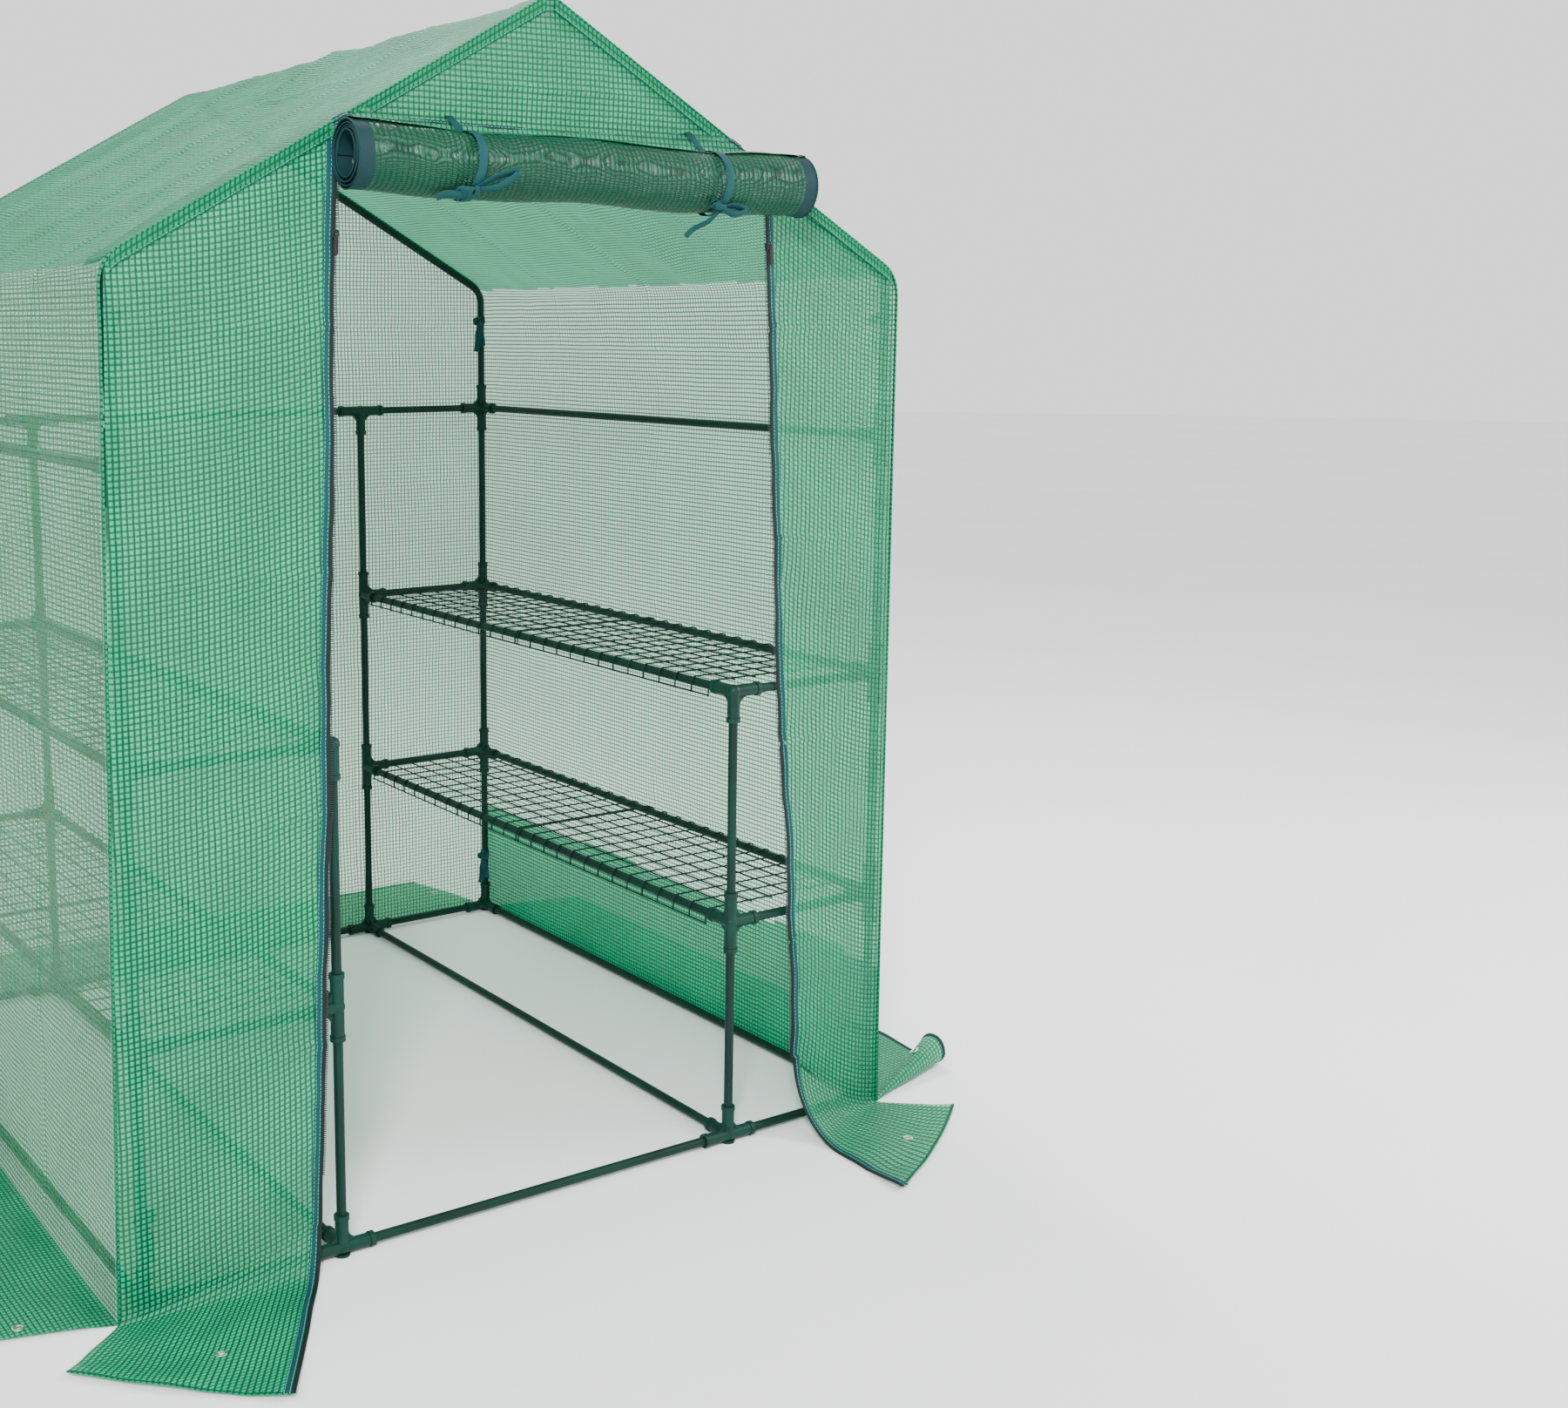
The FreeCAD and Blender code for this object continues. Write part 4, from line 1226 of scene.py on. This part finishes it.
def roll_axis(x):
    share = (x - ROLL_LOW.x) / ROLL_LENGTH
    droop = 0.003 * math.cos(4.2 * math.pi * share) - 0.015 * share + 0.003
    return ROLL_MIDDLE.y + 0.002 * math.sin(5 * share), ROLL_MIDDLE.z + droop


ROLL_CRUMPLE = 0.375
print("roll", round(ROLL_LENGTH, 3), "m long,", ROLL_TURNS, "turns")


# %% The spiral's shape
def door_spiral(u, v):
    """u runs along the roll; v winds from the core out to where the door hangs from the gable seam."""
    turn = ROLL_TURNS * v
    angle = 2 * math.pi * turn
    radius = ROLL_CORE + (ROLL_OUTER - ROLL_CORE) * v
    x = ROLL_LOW.x + ROLL_LENGTH * u
    end = 0.003 * math.sin(2.7 * turn + (2 if u > 0.5 else 0)) * abs(2 * u - 1) ** 6
    middle_y, middle_z = roll_axis(x)
    squeeze = sum(math.exp(-((x - spot) / 0.035) ** 2) for spot, _ in TIE_SPOTS)
    dent = -0.0030 * squeeze * v
    folds = 0.0016 * drifting(x * 3.0 + 0.9 * angle, angle, 71.0, 1.0, 0.8)
    folds += ROLL_CRUMPLE * crumple(x, 0.05 * angle, 73.0)
    flatten = 1 - 0.05 * math.cos(2 * angle)
    radius = radius * flatten + (dent + folds) * (0.35 + 0.65 * v)
    radius = min(radius, ROLL_OUTER + 0.0045)
    y = middle_y + radius * math.cos(angle)
    z = middle_z + radius * math.sin(angle) * 0.985
    wound = ROLL_TURNS * math.pi * (ROLL_CORE + radius) * v
    return (x - end, y, z), (x, wound)


print("spiral rule ready")

# %% Wind the door
roll_columns = 170
roll_cloth = Cloth(roll_columns, 300, door_spiral)
shares = np.linspace(0, 1, roll_columns + 1)[:-1] + 0.5 / roll_columns
near_end = np.minimum(shares, 1 - shares) * ROLL_LENGTH < ROLL_BINDING
finish_of_face = np.tile(near_end.astype(int), 300)
roll_piece = make_piece(
    "door_roll_cloth", roll_cloth.points.reshape(-1, 3), grid_faces(roll_columns, 300),
    roll_cloth.flats.reshape(-1, 2), (roll_film, dark_tape), finish_of_face,
)
ROLL_SHEET = (ROLL_LENGTH, ROLL_TURNS * math.pi * (ROLL_CORE + ROLL_OUTER))
dress(roll_piece, "door_roll", "cover", "door_roll")
print("roll", [round(value, 3) for value in ROLL_SHEET], "area", round(roll_cloth.area(), 3))

# %% Rims on the roll's two ends
rim_bands = []
for side in ("left", "right"):
    rim_points, _ = roll_cloth.edge(side)
    middle = np.array([[p[0], *roll_axis(p[0])] for p in rim_points])
    outward = rim_points - middle
    outward /= np.linalg.norm(outward, axis=1, keepdims=True)
    rim_bands.append(strip(rim_points, outward, 0.0028, 0.0022))
rims = strips("door_roll_rims", dark_tape, rim_bands)
dress(rims, "door_roll", "trim_tape")
for piece in (roll_piece, rims):
    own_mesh(piece)
print("rims", len(rims.data.polygons), "faces")

# %% [markdown]
# Between the gable seam and the roll hangs the part of the door that is not wound up. At rest it is a
# narrow strip; as the roll travels down it pays out into a full door. Its flat coordinates are laid out
# for the lowered door, so the net is square when the door is closed.

# %% The unwound strip of the door
STRIP_TOP, STRIP_TURN, STRIP_FOOT = SEAM + 0.003, 1.742, ROLL_MIDDLE.z
DROP = 1.58


def door_strip(u, v):
    z = STRIP_TOP + (STRIP_FOOT - STRIP_TOP) * v
    pay = smooth_step(STRIP_TURN - z, 0.0, STRIP_TURN - STRIP_FOOT)
    roof_half = (RIDGE - z) / math.tan(ROOF_ANGLE) - 0.012
    left = max(ROLL_LOW.x, -roof_half)
    right = min(ROLL_HIGH.x - 0.006, roof_half + 0.03 * smooth_step(STRIP_TURN - z, 0.0, 0.04))
    x = left + (right - left) * u
    back = -END - 0.0030 - 0.0085 * smooth_step(STRIP_TOP - z, 0.0, 0.045)
    ripple = 0.0016 * drifting(x, z - DROP * pay, 81.0, 3.0, 1.5)
    return (x, back - ripple, z), (x, z - DROP * pay)


strip_cloth = Cloth(80, 110, door_strip)
strip_piece = strip_cloth.piece("door_strip_cloth", front_film)
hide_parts("door_curtain")
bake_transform(strip_piece)
print("door strip area", round(strip_cloth.area(), 3))

# %% [markdown]
# Two tapes sewn into the gable seam hold the roll up. Each comes over the front of the roll, is brought
# up under it from behind, and is tied in a bow low on the front. The ribbon is wound on the roll's own
# radius, and the bow is made of flattened loops and two cut tails.

# %% Smooth ribbon lines
RIBBON = 0.0145


def curve_through(points, count=28):
    """A smooth line through a few given points."""
    points = [Vector(p) for p in points]
    padded = [2 * points[0] - points[1]] + points + [2 * points[-1] - points[-2]]
    line = []
    for index in range(1, len(padded) - 2):
        a, b, c, d = padded[index - 1: index + 3]
        for step in range(count):
            t = step / count
            line.append(0.5 * ((2 * b) + (c - a) * t + (2 * a - 5 * b + 4 * c - d) * t ** 2
                               + (3 * b - a - 3 * c + d) * t ** 3))
    line.append(points[-1])
    return line


print("ribbon width", RIBBON)


# %% Tie a bow
def bow(centre, out, right, size, tails, loops):
    """Bands of a tied bow; out points away from the roll, right along it, loops and tails as (across, up)."""
    centre, out, right = Vector(centre), Vector(out).normalized(), Vector(right).normalized()
    up = out.cross(right).normalized() * (1 if out.cross(right).z > 0 else -1)
    bands = []
    for across, rise in loops:
        reach = (right * across + up * rise) * size
        side = reach.cross(out).normalized() * 0.004
        line = curve_through([
            centre + out * 0.002, centre + reach * 0.45 + out * 0.013 + side, centre + reach + out * 0.009,
            centre + reach * 0.55 + out * 0.002 - side, centre + out * 0.001,
        ], 10)
        bands.append(strip(line, out, RIBBON * 0.86, 0.0010, taper=lambda t: 0.45 + 0.62 * hump(t) ** 0.6))
    for across, rise in tails:
        reach = (right * across + up * rise) * size
        line = curve_through([
            centre + out * 0.003, centre + reach * 0.4 + out * 0.008,
            centre + reach * 0.75 + out * 0.003, centre + reach + out * 0.006,
        ], 10)
        bands.append(strip(line, out, RIBBON * 0.9, 0.0010,
                           taper=lambda t: 0.45 + 0.65 * smooth_step(t, 0.0, 0.45)))
    ring = [centre + out * (0.004 + 0.0045 * math.cos(a)) + up * 0.0065 * math.sin(a)
            for a in np.linspace(0, 2 * math.pi, 15)]
    ring_ups = [(point - (centre + out * 0.004)).normalized() for point in ring]
    bands.append(strip(ring, [tuple(u) for u in ring_ups], 0.0085, 0.0022))
    return bands


print("bow helper ready")

# %% Door tie straps
tie_bands = []
for index, (top_x, knot_x) in enumerate(TIE_SPOTS):
    middle_y, middle_z = roll_axis(knot_x)
    knot_angle = math.radians(222 + 6 * index)
    seam_point = Vector((top_x, -END - 0.004, SEAM - 0.001))
    wound = []
    for angle in np.linspace(math.radians(72), knot_angle, 34):
        share = (angle - math.radians(72)) / (knot_angle - math.radians(72))
        x = top_x + (knot_x - top_x) * share + 0.006 * math.sin(math.pi * share)
        y, z = roll_axis(x)
        wound.append(Vector((x, y + 0.0512 * math.cos(angle), z + 0.0506 * math.sin(angle))))
    over = [seam_point, seam_point.lerp(wound[0], 0.5) + Vector((0, 0, 0.002))] + wound
    over_ups = [Vector((0, -0.3, 1))] * 2 + [p - Vector((p.x, *roll_axis(p.x))) for p in wound]
    tie_bands.append(strip(over, [tuple(u.normalized()) for u in over_ups], RIBBON, 0.0011))
    under = []
    for angle in np.linspace(math.radians(400), knot_angle, 34):
        y, z = roll_axis(knot_x)
        under.append(Vector((knot_x + 0.002, y + 0.0516 * math.cos(angle), z + 0.0510 * math.sin(angle))))
    under_ups = [p - Vector((p.x, *roll_axis(p.x))) for p in under]
    tie_bands.append(strip(under, [tuple(u.normalized()) for u in under_ups], RIBBON, 0.0011))
    out = Vector((0, math.cos(knot_angle), math.sin(knot_angle)))
    knot = Vector((knot_x, middle_y, middle_z)) + out * 0.0515
    if index == 0:
        tie_bands += bow(knot, out, (1, 0, 0), 1.0,
                         ((-0.060, -0.014), (-0.028, -0.016)), ((0.056, 0.038), (-0.030, 0.004)))
    else:
        tie_bands += bow(knot, out, (1, 0, 0), 1.0,
                         ((-0.030, 0.016), (-0.040, -0.062)), ((0.042, 0.002), (-0.024, 0.012)))
tie_piece = strips("door_tie_straps", tie_tape, tie_bands)
dress(tie_piece, "frame", "trim_tape", "door_ties")
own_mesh(tie_piece)
print("door ties", len(tie_piece.data.polygons), "faces")

# %% [markdown]
# Inside each corner the cover is tied to the frame, once near the eave and once near the ground. Each tie
# is a loop of the same tape round the corner tube, with its two ends hanging free.

# %% Corner ties
TIE_LEVELS = (1.479, 0.150)
corner_bands = []
ring_radius = TUBE + 0.0016
for sx in (-1, 1):
    for sy in (-1, 1):
        for level in TIE_LEVELS:
            heading = Vector((-sx, -sy, 0)).normalized()
            across = Vector((heading.y, -heading.x, 0))
            centre = Vector((sx * POST_X, sy * POST_Y, level))
            loop = []
            for angle in np.linspace(0, 2 * math.pi, 25):
                around = heading * math.cos(angle) + across * math.sin(angle)
                loop.append(centre + around * ring_radius + Vector((0, 0, 0.003 * math.sin(2 * angle))))
            loop_ups = [tuple((p - centre).normalized()) for p in loop]
            corner_bands.append(strip(loop, loop_ups, 0.014, 0.0012))
            knot = centre + heading * (ring_radius + 0.001)
            corner_bands += bow(knot, heading, across, 0.8,
                                ((0.008, -0.095), (-0.010, -0.078)), ((0.009, -0.008), (-0.009, -0.010)))
corner_piece = strips("corner_tie_straps", tie_tape, corner_bands)
dress(corner_piece, "frame", "trim_tape", "corner_ties")
print("corner ties", len(corner_piece.data.polygons), "faces")

# %% [markdown]
# A zip slider is a small cast wedge with two throats, a bridge over its back and a flat pull tab. Each
# one rides on its own body, so it can run down its leaning track.

# %% Slider finish and plate helpers
graph = Graph("black_enamelled_zinc")
place = graph.add("TexCoord").outputs["Object"]
chips = graph.ramp(graph.noise(place, 420, 4, 0.7), 0.62, 0.72)
enamel = graph.blend(chips, colour(0.012, 0.014, 0.014), colour(0.30, 0.31, 0.31))
bump = graph.add("Bump", Strength=0.2, Distance=0.0002, Height=chips)
slider_finish = graph.finish(graph.principled(Base_Color=enamel, Roughness=0.32, Normal=bump, Metallic=0.35))


def prism(target, outline, front, back, bevel=0.0006):
    """Add a bevelled plate to a bmesh: a closed outline in X and Z, between two depths in Y."""
    before = set(target.verts)
    ring = [target.verts.new((x, front, z)) for x, z in outline]
    face = target.faces.new(ring)
    grown = bmesh.ops.extrude_face_region(target, geom=[face])
    moved = [v for v in grown["geom"] if isinstance(v, bmesh.types.BMVert)]
    bmesh.ops.translate(target, vec=(0, back - front, 0), verts=moved)
    added = [v for v in target.verts if v not in before]
    edges = dict.fromkeys(edge for vertex in added for edge in vertex.link_edges)
    bmesh.ops.bevel(target, geom=list(edges), offset=bevel, segments=2, affect="EDGES", profile=0.6)


def rounded_plate(width, height, corner, steps=4):
    outline = []
    for cx, cz, start in ((1, 1, 0), (-1, 1, 90), (-1, -1, 180), (1, -1, 270)):
        for k in range(steps + 1):
            angle = math.radians(start + 90 * k / steps)
            outline.append((cx * (width / 2 - corner) + corner * math.cos(angle),
                            cz * (height / 2 - corner) + corner * math.sin(angle)))
    return outline


print("slider helpers ready")

# %% Cast the two sliders
EDGE_RUN, EDGE_RISE = {"left": 0.065, "right": -0.103}, 1.775
SLIDER_SEAT = 0.0075
for side_name in ("left", "right"):
    node = f"zip_slider_{side_name}"
    first, last = low(node), high(node)
    middle = (first + last) / 2
    slider = bmesh.new()
    wedge = [(-0.0045, -0.0075), (0.0045, -0.0075), (0.0062, 0.0), (0.0056, 0.0062), (0.0018, 0.0078),
             (0.0, 0.0060), (-0.0018, 0.0078), (-0.0056, 0.0062), (-0.0062, 0.0)]
    for front, back in ((-0.0042, -0.0026), (0.0014, 0.0030)):
        prism(slider, wedge, front, back)
    divider = [(-0.0011, 0.001), (0.0011, 0.001), (0.0011, 0.0066), (-0.0011, 0.0066)]
    prism(slider, divider, -0.0030, 0.0018, 0.0002)
    bridge = [Vector((0, -0.0040, -0.0055)), Vector((0, -0.0068, -0.0030)),
              Vector((0, -0.0072, 0.001)), Vector((0, -0.0042, 0.0045))]
    tab_top = -0.0030
    tab = [(x, z + tab_top - 0.0135) for x, z in rounded_plate(0.0072, 0.0270, 0.0030)]
    prism(slider, tab, -0.0078, -0.0064, 0.0003)
    mesh = bpy.data.meshes.new(node + "_cast")
    slider.to_mesh(mesh)
    slider.free()
    obj = bpy.data.objects.new(node + "_cast", mesh)
    bpy.context.scene.collection.objects.link(obj)
    bow_points, bow_faces, _ = strip(curve_through(bridge, 8), (1, 0, 0), 0.0012, 0.0022)
    joined = bmesh.new()
    joined.from_mesh(mesh)
    added = [joined.verts.new(tuple(p)) for p in bow_points]
    for face in bow_faces:
        joined.faces.new([added[k] for k in face])
    bmesh.ops.recalc_face_normals(joined, faces=joined.faces)
    lean = math.atan2(EDGE_RUN[side_name], EDGE_RISE)
    parked = Matrix.Translation((middle.x, first.y + SLIDER_SEAT, middle.z))
    joined.transform(parked @ Matrix.Rotation(lean, 4, "Y"))
    joined.to_mesh(mesh)
    joined.free()
    mesh.polygons.foreach_set("use_smooth", [False] * len(mesh.polygons))
    mesh.materials.append(slider_finish)
    dress(obj, node, "slider", node)
    print(node, len(mesh.polygons), "faces at", [round(c, 3) for c in middle])

# %% [markdown]
# Eight nickel eyelets take the ground pegs. A hole is punched through the cloth first. Then a Geometry
# Nodes tree sets one rolled ring on each point: a circle swept with a small round section and flattened.

# %% Punch the eyelet holes
EYELET_BORE, EYELET_FLANGE = 0.005, 0.0048
NEAR, FAR = 0.665, 0.890
eyelet_spots = [(sx * NEAR, sy * FAR) for sx in (-1, 1) for sy in (-1, 1)]
eyelet_spots += [(sx * FAR, sy * NEAR) for sx in (-1, 1) for sy in (-1, 1)]


def lying_within(cloth, flat, radius):
    """The faces of a sheet that lie on the ground around a place on the plan."""
    middles = [(face, face.calc_center_median()) for face in cloth.faces]
    return [face for face, middle in middles if (middle.xy - flat).length < radius and middle.z < 0.05]


def punch(obj, spot, radius):
    """Cut a round hole in a lying sheet and return the height and normal of the cloth there."""
    cloth = bmesh.new()
    cloth.from_mesh(obj.data)
    flat = Vector((spot[0], spot[1]))
    close = lying_within(cloth, flat, 0.022)
    if not close:
        cloth.free()
        return None
    centre = min(close, key=lambda f: (f.calc_center_median().xy - flat).length)
    height, normal = centre.calc_center_median().z, centre.normal.copy()
    edges = list(dict.fromkeys(edge for face in close for edge in face.edges))
    bmesh.ops.subdivide_edges(cloth, edges=edges, cuts=4, use_grid_fill=True)
    bmesh.ops.delete(cloth, geom=lying_within(cloth, flat, radius), context="FACES")
    cloth.to_mesh(obj.data)
    cloth.free()
    return height, normal if normal.z > 0 else -normal


lying = [piece for _, piece in skirts.values()] + list(front_pieces.values())
eyelet_points, eyelet_ups = [], []
for spot in eyelet_spots:
    found = None
    for obj in lying:
        found = found or punch(obj, spot, EYELET_BORE + 0.0015)
    height, normal = found or (0.002, Vector((0, 0, 1)))
    eyelet_points.append((spot[0], spot[1], height + 0.0006))
    eyelet_ups.append(tuple(normal))
print("eyelets at heights", [round(p[2], 4) for p in eyelet_points])

# %% Nickel plate
graph = Graph("nickel_plate")
place = graph.add("TexCoord").outputs["Object"]
brushed = graph.noise(place, 700, 4, 0.6)
nickel = graph.blend(brushed, colour(0.55, 0.55, 0.52), colour(0.80, 0.80, 0.77))
rough = graph.ramp(brushed, 0.3, 0.7, 0.16, 0.34)
eyelet_finish = graph.finish(graph.principled(Base_Color=nickel, Roughness=rough, Metallic=1.0))

print("nickel finish ready")

# %% Geometry Nodes tree that sets the eyelets
tree = bpy.data.node_groups.new("eyelets_on_points", "GeometryNodeTree")
tree.interface.new_socket("Geometry", in_out="INPUT", socket_type="NodeSocketGeometry")
for socket in ("Bore", "Flange", "Flatness"):
    tree.interface.new_socket(socket, in_out="INPUT", socket_type="NodeSocketFloat")
tree.interface.new_socket("Finish", in_out="INPUT", socket_type="NodeSocketMaterial")
tree.interface.new_socket("Geometry", in_out="OUTPUT", socket_type="NodeSocketGeometry")
node, link = tree.nodes.new, tree.links.new
given, result = node("NodeGroupInput"), node("NodeGroupOutput")
half, ring_radius_node = node("ShaderNodeMath"), node("ShaderNodeMath")
half.operation, half.inputs[1].default_value = "MULTIPLY", 0.5
link(given.outputs["Flange"], half.inputs[0])
ring_radius_node.operation = "ADD"
link(given.outputs["Bore"], ring_radius_node.inputs[0])
link(half.outputs[0], ring_radius_node.inputs[1])
circle, profile = node("GeometryNodeCurvePrimitiveCircle"), node("GeometryNodeCurvePrimitiveCircle")
circle.inputs["Resolution"].default_value, profile.inputs["Resolution"].default_value = 32, 10
link(ring_radius_node.outputs[0], circle.inputs["Radius"])
link(half.outputs[0], profile.inputs["Radius"])
swept = node("GeometryNodeCurveToMesh")
link(circle.outputs["Curve"], swept.inputs["Curve"])
link(profile.outputs["Curve"], swept.inputs["Profile Curve"])
squashed, vector = node("GeometryNodeTransform"), node("ShaderNodeCombineXYZ")
vector.inputs[0].default_value = vector.inputs[1].default_value = 1.0
link(given.outputs["Flatness"], vector.inputs[2])
link(vector.outputs[0], squashed.inputs["Scale"])
link(swept.outputs["Mesh"], squashed.inputs["Geometry"])
normal_of, turned = node("GeometryNodeInputNamedAttribute"), node("FunctionNodeAlignRotationToVector")
normal_of.data_type = "FLOAT_VECTOR"
normal_of.inputs["Name"].default_value = "up"
turned.axis = "Z"
link(normal_of.outputs["Attribute"], turned.inputs["Vector"])
copies = node("GeometryNodeInstanceOnPoints")
real, coat = node("GeometryNodeRealizeInstances"), node("GeometryNodeSetMaterial")
link(given.outputs["Geometry"], copies.inputs["Points"])
link(squashed.outputs["Geometry"], copies.inputs["Instance"])
link(turned.outputs["Rotation"], copies.inputs["Rotation"])
link(copies.outputs["Instances"], real.inputs["Geometry"])
link(real.outputs["Geometry"], coat.inputs["Geometry"])
link(given.outputs["Finish"], coat.inputs["Material"])
link(coat.outputs["Geometry"], result.inputs["Geometry"])

print("eyelet tree has", len(tree.nodes), "nodes")

# %% Set the eyelets and make them one piece
mesh = bpy.data.meshes.new("eyelet_spots")
mesh.from_pydata(eyelet_points, [], [])
ups = mesh.attributes.new("up", "FLOAT_VECTOR", "POINT")
ups.data.foreach_set("vector", np.array(eyelet_ups, np.float32).ravel())
guide = bpy.data.objects.new("eyelet_guide", mesh)
bpy.context.scene.collection.objects.link(guide)
modifier = guide.modifiers.new("eyelets_on_points", "NODES")
modifier.node_group = tree
values = {"Bore": EYELET_BORE, "Flange": EYELET_FLANGE, "Flatness": 0.42, "Finish": eyelet_finish}
for item in tree.interface.items_tree:
    if item.item_type == "SOCKET" and item.in_out == "INPUT" and item.name in values:
        modifier[item.identifier] = values[item.name]
bpy.context.view_layer.update()
rings_mesh = bpy.data.meshes.new_from_object(guide.evaluated_get(bpy.context.evaluated_depsgraph_get()))
bpy.data.objects.remove(guide)
rings = bpy.data.objects.new("eyelet_rings", rings_mesh)
bpy.context.scene.collection.objects.link(rings)
rings_mesh.polygons.foreach_set("use_smooth", [True] * len(rings_mesh.polygons))
dress(rings, "frame", "eyelet", "eyelets")
print("eyelet rings", len(rings_mesh.polygons), "faces")

# %% Finish
for shape in (stitch_shape, tooth_shape):
    bpy.data.objects.remove(shape)
